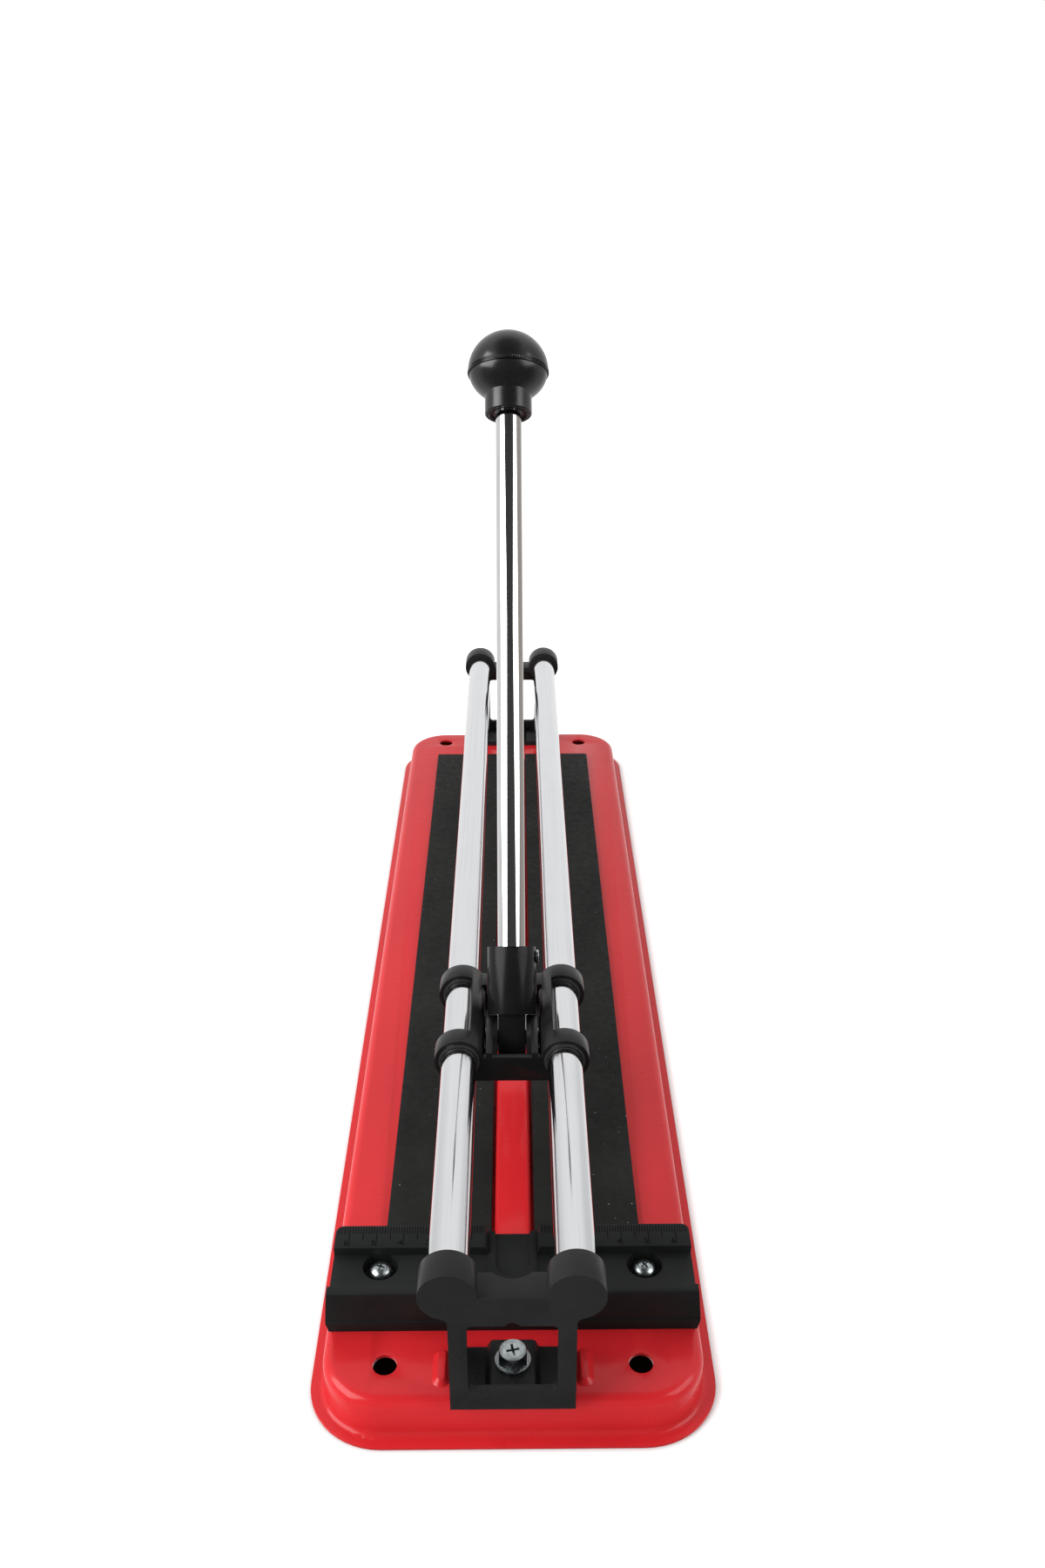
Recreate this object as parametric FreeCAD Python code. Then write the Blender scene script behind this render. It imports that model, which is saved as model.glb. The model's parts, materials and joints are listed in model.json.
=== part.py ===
import FreeCAD, Part
import math
import os

# Manual tile cutter: a pressed steel tray, a fence with a rule, two rails held by end brackets,
# a carriage that slides on the rails, and a hinged lever that carries the scoring wheel.
# Millimetres.  X is across the tray, +Y runs from the fence to the far bracket, +Z is up.
# The origin is the middle of the tray on the bench surface.

# ---- tray
TRAY_WIDTH = 145.0
TRAY_LENGTH = 553.0
TRAY_CORNER_R = 27.3
FLANGE_LIP = 5.1
TRAY_HEIGHT = 17.0
SHEET = 1.2
TRAY_TOP_FILLET = 4.0
FLANGE_BEND_R = 2.5
MOUNT_HOLE_R = 4.25
MOUNT_HOLE_X = 44.8
MOUNT_HOLE_Y = 255.7

# ---- snapping ridge pressed up along the middle of the tray
RIDGE_HALF_BASE = 7.55
RIDGE_HALF_TOP = 6.0
RIDGE_HEIGHT = 3.5
RIDGE_NEAR_Y = -208.0
RIDGE_FAR_Y = 229.0
RIDGE_FOOT_R = 3.0
RIDGE_TOP_R = 2.0

# ---- rubber pads
PAD_INNER_X = 8.3
PAD_OUTER_X = 49.0
PAD_NEAR_Y = -210.4
PAD_FAR_Y = 232.8
PAD_THICK = 2.5
PAD_CORNER_R = 1.0

# ---- fence
FENCE_HALF_LENGTH = 65.2
FENCE_BACK_Y = -210.9
FENCE_FRONT_Y = -240.5
FENCE_TOP_Z = 34.5
RULE_TOP_Z = 38.1
RULE_DEPTH = 11.0
RULE_GAP_HALF = 10.1
CHANNEL_HALF = 6.4
CHANNEL_FLOOR_Z = 33.6
LAND_OUTER_X = 8.9
LAND_TOP_Z = 35.0
LIP_WIDTH = 3.6
FRONT_HALF_TOP = 66.1
FRONT_HALF_BULGE = 67.2
FRONT_HALF_FOOT = 66.2
FRONT_BULGE_Z = 22.0
PLINTH_HEIGHT = 4.6
PLINTH_STEP = 0.45
LIP_HEIGHT = 0.45
LIP_FILLET = 0.9
FENCE_WALL = 2.6
FENCE_CORNER_R = 3.0
CHANNEL_INSET = 8.0
LAND_MARGIN = 3.0
FENCE_SCREW_X = 47.8
FENCE_SCREW_Y = -227.3
FENCE_RECESS_R = 6.4
FENCE_RECESS_DEPTH = 3.5
FENCE_BOSS_R = 8.2
FENCE_SCREW_HEAD_R = 4.35
FENCE_SCREW_HEAD = 3.7
FENCE_SCREW_R = 2.0
FENCE_SCREW_TIP_Z = 10.5
FENCE_NUT_FLATS = 7.0
FENCE_NUT = 3.2
FENCE_ROOF = 3.0
PAN_HEAD_FLATNESS = 1.35
FENCE_RIB_X = (-32.0, -12.0, 12.0, 32.0)

# ---- rails and end brackets
RAIL_R = 7.0
RAIL_X = 21.05
RAIL_Z = 68.8
BRACKET_FACE_Y = 274.2
CAP_R = 9.7
CAP_LENGTH = 11.4
CAP_WALL = 2.0
NECK_FILLET_R = 2.6
BRACKET_PLATE = 2.8
SHELF_THICK = 3.0
SHELF_SCOOP_R = 9.0
SHELF_SCOOP_SET_BACK = 6.2
WINDOW_CORNER_R = 2.0
LOCATING_HOLE_R = 2.6
GUSSET_THICK = 2.4
GUSSET_WAIST_Z = 44.0
GUSSET_TOP_Z = 60.0
PLATE_BLEND_STEPS = 8
WEB_TOP_Z = 68.3
WINDOW_TOP_Z = 56.1
SILL_TOP_Z = 25.7
LEG_OUTER_X = 21.2
LEG_INNER_X = 15.0
FOOT_BACK_Y = 250.8
FOOT_TOP_Z = 20.0
BOLT_PAD_HALF = 7.2
BOLT_PAD_Z = 23.5
BOLT_Y = 260.0
BOLT_R = 3.0
SCREW_PLAY = 0.3
BOLT_TIP_Z = 8.5
BOLT_FLANGE_R = 6.2
BOLT_FLATS = 9.6
BOLT_HEAD = 5.5
BOLT_NUT_FLATS = 10.0
BOLT_NUT = 5.0
LUG_X = 24.9
LUG_Y = 257.2
LUG_FOOT_R = 3.0
LUG_TOP_R = 1.2
LUG_HALF_WIDTH = 3.1
LUG_HALF_LENGTH = 7.9
LUG_DRAFT = 1.8
LUG_HEIGHT = 1.7

# ---- carriage
CARRIAGE_Y = -126.95
CARRIAGE_HALF = 26.85
RING_R = 9.9
RING_LENGTH = 8.6
BUSH_R = 8.3
BUSH_CLEARANCE = 0.05
SHELL_INNER_R = 7.45
CARRIAGE_BOTTOM_Z = 59.3
FLOOR_TOP_Z = 61.3
CHEEK_INNER_X = 7.85
CHEEK_OUTER_X = 10.4
CHEEK_TOP_Z = 73.0
FRONT_WEB_TOP_Z = 70.7
REAR_BAR_TOP_Z = 64.8
REAR_GUSSET_Z = 74.2
WEB_THICK = 2.5
BEARING_INNER_X = 5.9
BEARING_TOP_Z = 67.5
APRON_GAP = 11.3
APRON_TOP_Z = 62.3
SHELL_OPEN_DEG = 60.0
CROSS_REACH = 4.0
CHEEK_BOSS_R = 9.1

# ---- lever, turned about its pivot pin
PIVOT_Y = -131.0
PIVOT_Z = 63.5
PIVOT_PIN_R = 3.0
PIN_POCKET_HALF = 4.2
PIN_POCKET_DEPTH = 1.6
PIN_HEAD_R = 4.0
PIN_HEAD = 0.8
PIN_CLIP = 0.7
LEVER_LEAN_DEG = 35.0
HUB_R = 10.05
HUB_BOTTOM = 9.5
HUB_TOP = 37.2
TONGUE_HALF = 5.6
TONGUE_R = 8.0
ROD_R = 5.75
ROD_START = 14.2
ROD_END = 282.0
CLAMP_SCREW_HEIGHT = 33.2
CLAMP_SCREW_R = 2.0
CLAMP_HEAD_R = 2.7
CLAMP_HEAD = 1.3
COLLAR_R = 10.4
COLLAR_BOTTOM = 270.7
SEAM_HEIGHT = 289.4
BOWL_CENTRE = 291.3
BOWL_R = 17.6
BOWL_DEPTH = 14.0
DOME_CENTRE = 291.0
DOME_R = 17.95
KNOB_WALL = 2.5
COLLAR_RECESS = 1.8
COLLAR_RIM = 1.7
COLLAR_SLEEVE = 1.4
COLLAR_CORE_INSET = 1.0

# ---- scoring wheel and breaker foot
WHEEL_ARM = 31.0
WHEEL_ARM_DEG = 94.0
WHEEL_R = 10.0
WHEEL_HALF_THICK = 1.5
AXLE_R = 2.5
FORK_HALF = 4.75
FORK_SLOT_HALF = 1.85
FORK_END_R = 5.0
STRAP_INNER_X = 5.1
STRAP_OUTER_X = 6.6
FOOT_REST_DEG = 80.0
FOOT_RADIUS = 14.3
FOOT_HALF_WIDTH = 14.2
FOOT_HALF_RUN = 4.0

FOOT_PAD_THICK = 2.2
FOOT_CROTCH = 1.2
AXLE_HEAD_R = 4.0
AXLE_HEAD = 1.2
AXLE_CLIP_R = 3.8
AXLE_CLIP = 0.8
STRAP_PLAY = 0.3
WHEEL_BEVEL = 2.6
WHEEL_EDGE_HALF = 0.12
WHEEL_SLOT_PLAY = 1.0

RUNNING_FIT = 0.05


def vec(x, y, z):
    """A FreeCAD vector."""
    return FreeCAD.Vector(x, y, z)


def box(x0, x1, y0, y1, z0, z1):
    """A box between two corners."""
    return Part.makeBox(x1 - x0, y1 - y0, z1 - z0, vec(x0, y0, z0))


def rod_x(radius, x0, x1, y, z):
    """A cylinder along X."""
    return Part.makeCylinder(radius, x1 - x0, vec(x0, y, z), vec(1, 0, 0))


def rod_y(radius, y0, y1, x, z):
    """A cylinder along Y."""
    return Part.makeCylinder(radius, y1 - y0, vec(x, y0, z), vec(0, 1, 0))


def rod_z(radius, z0, z1, x=0.0, y=0.0):
    """A cylinder along Z."""
    return Part.makeCylinder(radius, z1 - z0, vec(x, y, z0), vec(0, 0, 1))


def union(shapes):
    """One clean solid from several that touch."""
    return shapes[0].multiFuse(shapes[1:]).removeSplitter()


def rounded_outline(half_x, half_y, radius, z):
    """A closed wire: a rectangle with round corners, centred on Z."""
    x, y, r = half_x, half_y, radius
    k = r * (1 - math.sqrt(0.5))
    corners = [(x, y, -1, 0, 0, -1), (x, -y, 0, 1, -1, 0), (-x, -y, 1, 0, 0, 1), (-x, y, 0, -1, 1, 0)]
    points = []
    for cx, cy, ax, ay, bx, by in corners:
        start = vec(cx + ax * r, cy + ay * r, z)
        end = vec(cx + bx * r, cy + by * r, z)
        middle = vec(cx - math.copysign(k, cx), cy - math.copysign(k, cy), z)
        points.append((start, middle, end))
    edges = []
    for index, (start, middle, end) in enumerate(points):
        edges.append(Part.Arc(start, middle, end).toShape())
        edges.append(Part.LineSegment(end, points[(index + 1) % 4][0]).toShape())
    return Part.Wire(edges)


def rounded_block(half_x, half_y, radius, z0, z1):
    """A block with round vertical corners."""
    face = Part.Face(rounded_outline(half_x, half_y, radius, z0))
    return face.extrude(vec(0, 0, z1 - z0))


def drafted_boss(half_base, half_top, radius_base, radius_top, z0, z1):
    """A boss whose walls lean in: half sizes are (x, y) pairs at its foot and at its top."""
    foot = rounded_outline(half_base[0], half_base[1], radius_base, z0)
    head = rounded_outline(half_top[0], half_top[1], radius_top, z1)
    return Part.makeLoft([foot, head], True, True)


def plate_xz(points, y0, y1):
    """A flat plate whose outline is (x, z) points, from y0 to y1."""
    loop = [vec(x, y0, z) for x, z in points]
    face = Part.Face(Part.makePolygon(loop + loop[:1]))
    return face.extrude(vec(0, y1 - y0, 0))


def plate_yz(points, x0, x1):
    """A flat plate whose outline is (y, z) points, from x0 to x1."""
    loop = [vec(x0, y, z) for y, z in points]
    face = Part.Face(Part.makePolygon(loop + loop[:1]))
    return face.extrude(vec(x1 - x0, 0, 0))


def mirror_x(shape):
    """The same shape on the other side of the middle plane."""
    return shape.mirror(vec(0, 0, 0), vec(1, 0, 0))


def turn_half(shape):
    """The same shape turned half a turn about Z, for the far end."""
    turned = shape.copy()
    turned.rotate(vec(0, 0, 0), vec(0, 0, 1), 180)
    return turned


def both_sides(shape):
    """A shape and its mirror image."""
    return [shape, mirror_x(shape)]


def edges_at(shape, z, tolerance=0.01):
    """Edges that lie wholly at one height."""
    found = []
    for edge in shape.Edges:
        limits = edge.BoundBox
        if abs(limits.ZMin - z) < tolerance and abs(limits.ZMax - z) < tolerance:
            found.append(edge)
    return found


def inside(edges, half_x, half_y):
    """Those edges that stay within a rectangle about the origin."""
    kept = []
    for edge in edges:
        limits = edge.BoundBox
        reach_x = max(abs(limits.XMin), abs(limits.XMax))
        reach_y = max(abs(limits.YMin), abs(limits.YMax))
        if reach_x < half_x and reach_y < half_y:
            kept.append(edge)
    return kept


def pan_head_screw(x, y, seat_z, head_r, head_h, shank_r, tip_z):
    """A vertical screw with a slightly domed head."""
    dome_r = PAN_HEAD_FLATNESS * (head_r ** 2 + head_h ** 2) / (2 * head_h)
    ball = Part.makeSphere(dome_r, vec(x, y, seat_z + head_h - dome_r))
    head = rod_z(head_r, seat_z, seat_z + head_h, x, y).common(ball)
    return union([head, rod_z(shank_r, tip_z, seat_z + 0.5, x, y)])


def hexagon(across_flats, z0, z1, x, y):
    """A hexagonal block."""
    radius = across_flats / math.sqrt(3)
    loop = []
    for step in range(6):
        angle = math.radians(60 * step + 30)
        loop.append(vec(x + radius * math.cos(angle), y + radius * math.sin(angle), z0))
    face = Part.Face(Part.makePolygon(loop + loop[:1]))
    return face.extrude(vec(0, 0, z1 - z0))


# ---- tray, pads and fence

def base_plate():
    """The pressed tray: one sheet with a rim flange, ridge, locating lugs and holes."""
    half_x = TRAY_WIDTH / 2 - FLANGE_LIP
    half_y = TRAY_LENGTH / 2 - FLANGE_LIP
    radius = TRAY_CORNER_R - FLANGE_LIP
    flange = rounded_block(TRAY_WIDTH / 2, TRAY_LENGTH / 2, TRAY_CORNER_R, 0, SHEET)
    outer = union([rounded_block(half_x, half_y, radius, 0, TRAY_HEIGHT), flange])
    outer = outer.makeFillet(TRAY_TOP_FILLET, edges_at(outer, TRAY_HEIGHT))
    bend = inside(edges_at(outer, SHEET), half_x + 0.1, half_y + 0.1)
    outer = outer.makeFillet(FLANGE_BEND_R, bend)
    inner = rounded_block(half_x - SHEET, half_y - SHEET, radius - SHEET, -SHEET, TRAY_HEIGHT - SHEET)
    inner = inner.makeFillet(TRAY_TOP_FILLET - SHEET, edges_at(inner, TRAY_HEIGHT - SHEET))
    middle_y = (RIDGE_NEAR_Y + RIDGE_FAR_Y) / 2
    half_run = (RIDGE_FAR_Y - RIDGE_NEAR_Y) / 2
    draft = RIDGE_HALF_BASE - RIDGE_HALF_TOP
    ridge = drafted_boss((RIDGE_HALF_BASE, half_run), (RIDGE_HALF_TOP, half_run - draft),
                         RIDGE_FOOT_R, RIDGE_TOP_R, TRAY_HEIGHT, TRAY_HEIGHT + RIDGE_HEIGHT)
    dent = drafted_boss((RIDGE_HALF_BASE - SHEET, half_run - SHEET),
                        (RIDGE_HALF_TOP - SHEET, half_run - draft - SHEET), RIDGE_FOOT_R - 1.0,
                        RIDGE_TOP_R - 1.0, TRAY_HEIGHT - SHEET, TRAY_HEIGHT + RIDGE_HEIGHT - SHEET)
    for shape in (ridge, dent):
        shape.translate(vec(0, middle_y, 0))
    bosses = [ridge]
    lug_top = (LUG_HALF_WIDTH - LUG_DRAFT, LUG_HALF_LENGTH - LUG_DRAFT)
    for side_x in (-LUG_X, LUG_X):
        for end_y in (-LUG_Y, LUG_Y):
            lug = drafted_boss((LUG_HALF_WIDTH, LUG_HALF_LENGTH), lug_top, LUG_FOOT_R, LUG_TOP_R,
                               TRAY_HEIGHT, TRAY_HEIGHT + LUG_HEIGHT)
            lug.translate(vec(side_x, end_y, 0))
            bosses.append(lug)
    tray = union([outer.cut(inner)] + bosses)
    tray = tray.cut(dent)
    holes = [rod_z(MOUNT_HOLE_R, -1, TRAY_HEIGHT + 1, x, y)
             for x in (-MOUNT_HOLE_X, MOUNT_HOLE_X) for y in (-MOUNT_HOLE_Y, MOUNT_HOLE_Y)]
    holes += [rod_z(BOLT_R + SCREW_PLAY, -1, TRAY_HEIGHT + 1, 0, y) for y in (-BOLT_Y, BOLT_Y)]
    holes += [rod_z(FENCE_SCREW_R + SCREW_PLAY, -1, TRAY_HEIGHT + 1, x, FENCE_SCREW_Y)
              for x in (-FENCE_SCREW_X, FENCE_SCREW_X)]
    for hole in holes:
        tray = tray.cut(hole)
    return tray


def right_pad():
    """One of the two flat rubber pads beside the ridge."""
    middle_x = (PAD_INNER_X + PAD_OUTER_X) / 2
    middle_y = (PAD_NEAR_Y + PAD_FAR_Y) / 2
    pad = rounded_block(PAD_OUTER_X - middle_x, PAD_FAR_Y - middle_y, PAD_CORNER_R,
                        TRAY_HEIGHT, TRAY_HEIGHT + PAD_THICK)
    pad.translate(vec(middle_x, middle_y, 0))
    return pad


def fence():
    """The moulded fence: hollow below, with a raised rule and a channel for the wheel."""
    middle_y = (FENCE_BACK_Y + FENCE_FRONT_Y) / 2
    half_y = (FENCE_BACK_Y - FENCE_FRONT_Y) / 2
    block = rounded_block(FENCE_HALF_LENGTH, half_y, FENCE_CORNER_R, TRAY_HEIGHT, RULE_TOP_Z)
    block.translate(vec(0, middle_y, 0))
    rule_front = FENCE_BACK_Y - RULE_DEPTH
    block = block.cut(box(-FENCE_HALF_LENGTH - 1, FENCE_HALF_LENGTH + 1, FENCE_FRONT_Y - 1, rule_front,
                          FENCE_TOP_Z, RULE_TOP_Z + 1))
    gap = plate_xz([(-RULE_GAP_HALF - 0.3, RULE_TOP_Z + 1), (RULE_GAP_HALF + 0.3, RULE_TOP_Z + 1),
                    (LAND_OUTER_X, FENCE_TOP_Z), (-LAND_OUTER_X, FENCE_TOP_Z)],
                   rule_front - 0.01, FENCE_BACK_Y + 1)
    block = block.cut(gap)
    lip_back = FENCE_FRONT_Y + LIP_WIDTH
    half = [(FRONT_HALF_FOOT, TRAY_HEIGHT), (FRONT_HALF_BULGE, FRONT_BULGE_Z - 2.0),
            (FRONT_HALF_BULGE, FRONT_BULGE_Z), (FRONT_HALF_TOP, FENCE_TOP_Z + LIP_HEIGHT)]
    front_wall = plate_xz(half + [(-x, z) for x, z in reversed(half)], FENCE_FRONT_Y, lip_back)
    plinth = plate_xz([(FRONT_HALF_FOOT, TRAY_HEIGHT), (FRONT_HALF_BULGE, TRAY_HEIGHT + PLINTH_HEIGHT),
                       (-FRONT_HALF_BULGE, TRAY_HEIGHT + PLINTH_HEIGHT), (-FRONT_HALF_FOOT, TRAY_HEIGHT)],
                      FENCE_FRONT_Y - PLINTH_STEP, FENCE_FRONT_Y + 1)
    block = union([block, front_wall, plinth])
    front_edge = [edge for edge in edges_at(block, FENCE_TOP_Z + LIP_HEIGHT)
                  if edge.BoundBox.YMax < FENCE_FRONT_Y + 0.1]
    block = block.makeFillet(LIP_FILLET, front_edge)
    channel_end = FENCE_FRONT_Y + CHANNEL_INSET
    land = box(-LAND_OUTER_X, LAND_OUTER_X, channel_end - LAND_MARGIN, FENCE_BACK_Y,
               FENCE_TOP_Z - 1, LAND_TOP_Z)
    channel = union([box(-CHANNEL_HALF, CHANNEL_HALF, channel_end + CHANNEL_HALF, FENCE_BACK_Y + 1,
                         CHANNEL_FLOOR_Z, LAND_TOP_Z + 1),
                     rod_z(CHANNEL_HALF, CHANNEL_FLOOR_Z, LAND_TOP_Z + 1, 0, channel_end + CHANNEL_HALF)])
    block = union([block, land]).cut(channel)
    hollow = box(-FENCE_HALF_LENGTH + FENCE_WALL, FENCE_HALF_LENGTH - FENCE_WALL,
                 FENCE_FRONT_Y + FENCE_WALL, FENCE_BACK_Y - FENCE_WALL, TRAY_HEIGHT - 1,
                 FENCE_TOP_Z - FENCE_ROOF)
    for rib_x in FENCE_RIB_X:
        hollow = hollow.cut(box(rib_x - 1, rib_x + 1, FENCE_FRONT_Y, FENCE_BACK_Y, 0, RULE_TOP_Z))
    for boss_x in (-FENCE_SCREW_X, FENCE_SCREW_X):
        hollow = hollow.cut(rod_z(FENCE_BOSS_R, 0, RULE_TOP_Z, boss_x, FENCE_SCREW_Y))
    block = block.cut(hollow)
    for screw_x in (-FENCE_SCREW_X, FENCE_SCREW_X):
        recess = rod_z(FENCE_RECESS_R, FENCE_TOP_Z - FENCE_RECESS_DEPTH, RULE_TOP_Z, screw_x, FENCE_SCREW_Y)
        block = block.cut(recess.common(box(-FENCE_HALF_LENGTH, FENCE_HALF_LENGTH, FENCE_FRONT_Y, rule_front,
                                            TRAY_HEIGHT, RULE_TOP_Z)))
        block = block.cut(rod_z(FENCE_SCREW_R + SCREW_PLAY, 0, RULE_TOP_Z, screw_x, FENCE_SCREW_Y))
    return block


def fence_screws():
    """Two pan-head screws that hold the fence down."""
    seat = FENCE_TOP_Z - FENCE_RECESS_DEPTH
    return [pan_head_screw(x, FENCE_SCREW_Y, seat, FENCE_SCREW_HEAD_R, FENCE_SCREW_HEAD, FENCE_SCREW_R,
                           FENCE_SCREW_TIP_Z) for x in (-FENCE_SCREW_X, FENCE_SCREW_X)]


def fence_nuts():
    """The nuts of the fence screws, under the tray."""
    top = TRAY_HEIGHT - SHEET
    return [hexagon(FENCE_NUT_FLATS, top - FENCE_NUT, top, x, FENCE_SCREW_Y).cut(
        rod_z(FENCE_SCREW_R, 0, top + 1, x, FENCE_SCREW_Y)) for x in (-FENCE_SCREW_X, FENCE_SCREW_X)]


# ---- brackets and rails

def bracket_half_outline():
    """The right half of the front plate below the cap, as (x, z) points up from the sill."""
    centre_x = LEG_OUTER_X + NECK_FILLET_R
    centre_z = RAIL_Z - math.sqrt((CAP_R + NECK_FILLET_R) ** 2 - (centre_x - RAIL_X) ** 2)
    end_deg = 90 - math.degrees(math.atan2(centre_x - RAIL_X, RAIL_Z - centre_z))
    blend = []
    for step in range(PLATE_BLEND_STEPS + 1):
        angle = math.radians(180 - end_deg * step / PLATE_BLEND_STEPS)
        blend.append((centre_x + NECK_FILLET_R * math.cos(angle), centre_z + NECK_FILLET_R * math.sin(angle)))
    return [(0, TRAY_HEIGHT), (LEG_OUTER_X, TRAY_HEIGHT)] + blend + [(RAIL_X, RAIL_Z), (0, RAIL_Z)]


def near_bracket():
    """The near bracket: two caps for the rails, a framed plate and a bolted foot."""
    face_y = -BRACKET_FACE_Y
    back_y = face_y + BRACKET_PLATE
    half = bracket_half_outline()
    outline = half + [(-x, z) for x, z in reversed(half)]
    outline = [point for index, point in enumerate(outline) if point != outline[index - 1]]
    plate = plate_xz(outline, face_y, back_y)
    plate = plate.cut(box(-2 * RAIL_X, 2 * RAIL_X, face_y - 1, back_y + 1, WEB_TOP_Z, RAIL_Z + 1))
    window_z = (SILL_TOP_Z + WINDOW_TOP_Z) / 2
    window = rounded_block(LEG_INNER_X, (WINDOW_TOP_Z - SILL_TOP_Z) / 2, WINDOW_CORNER_R,
                           -1, BRACKET_PLATE + 1)
    window.rotate(vec(0, 0, 0), vec(1, 0, 0), 90)
    window.translate(vec(0, back_y, window_z))
    plate = plate.cut(window)
    plate = plate.cut(rod_y(LOCATING_HOLE_R, face_y - 1, back_y + 1, 0, WINDOW_TOP_Z - 1.0))
    shelf_back = face_y + CAP_LENGTH
    shelf = box(-RAIL_X, RAIL_X, back_y - 0.1, shelf_back, WEB_TOP_Z - SHELF_THICK, WEB_TOP_Z)
    shelf = shelf.cut(rod_z(SHELF_SCOOP_R, 0, RAIL_Z, 0, shelf_back + SHELF_SCOOP_SET_BACK))
    foot = box(-LEG_OUTER_X, LEG_OUTER_X, face_y, -FOOT_BACK_Y, TRAY_HEIGHT, FOOT_TOP_Z)
    pad = plate_xz([(-BOLT_PAD_HALF - 2.6, FOOT_TOP_Z - 0.5), (-BOLT_PAD_HALF - 1.8, FOOT_TOP_Z + 0.5),
                    (-BOLT_PAD_HALF - 0.6, BOLT_PAD_Z - 0.5), (-BOLT_PAD_HALF + 0.4, BOLT_PAD_Z),
                    (BOLT_PAD_HALF - 0.4, BOLT_PAD_Z), (BOLT_PAD_HALF + 0.6, BOLT_PAD_Z - 0.5),
                    (BOLT_PAD_HALF + 1.8, FOOT_TOP_Z + 0.5), (BOLT_PAD_HALF + 2.6, FOOT_TOP_Z - 0.5)],
                   back_y - 0.1, -FOOT_BACK_Y)
    gusset = plate_yz([(back_y - 0.1, FOOT_TOP_Z - 0.1), (-FOOT_BACK_Y, FOOT_TOP_Z - 0.1),
                       (-FOOT_BACK_Y, FOOT_TOP_Z + 3.0), (back_y + 5.0, GUSSET_WAIST_Z),
                       (shelf_back - 3.0, GUSSET_TOP_Z), (back_y - 0.1, GUSSET_TOP_Z)],
                      LEG_OUTER_X - GUSSET_THICK, LEG_OUTER_X)
    caps = [rod_y(CAP_R, face_y, face_y + CAP_LENGTH, x, RAIL_Z) for x in (-RAIL_X, RAIL_X)]
    body = union([plate, shelf, foot, pad] + both_sides(gusset) + caps)
    for x in (-RAIL_X, RAIL_X):
        body = body.cut(rod_y(RAIL_R, face_y + CAP_WALL, 0, x, RAIL_Z))
    return body.cut(rod_z(BOLT_R + SCREW_PLAY, 0, BOLT_PAD_Z + 1, 0, -BOLT_Y))


def bracket_bolt():
    """The near bracket's flanged hexagon bolt."""
    flange = rod_z(BOLT_FLANGE_R, BOLT_PAD_Z, BOLT_PAD_Z + 1.2, 0, -BOLT_Y)
    head = hexagon(BOLT_FLATS, BOLT_PAD_Z + 1.0, BOLT_PAD_Z + BOLT_HEAD, 0, -BOLT_Y)
    crown = Part.makeCone(BOLT_FLATS / 2 + 1.8, BOLT_FLATS / 2 - 0.2, BOLT_HEAD, vec(0, -BOLT_Y, BOLT_PAD_Z))
    shank = rod_z(BOLT_R, BOLT_TIP_Z, BOLT_PAD_Z + 0.5, 0, -BOLT_Y)
    return union([flange, head.common(crown), shank])


def bracket_nuts():
    """The nuts of both bracket bolts, under the tray."""
    top = TRAY_HEIGHT - SHEET
    return [hexagon(BOLT_NUT_FLATS, top - BOLT_NUT, top, 0, y).cut(rod_z(BOLT_R, 0, top + 1, 0, y))
            for y in (-BOLT_Y, BOLT_Y)]


def right_rail():
    """One ground steel rail."""
    end = BRACKET_FACE_Y - CAP_WALL
    return rod_y(RAIL_R, -end, end, RAIL_X, RAIL_Z)


# ---- carriage

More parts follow.
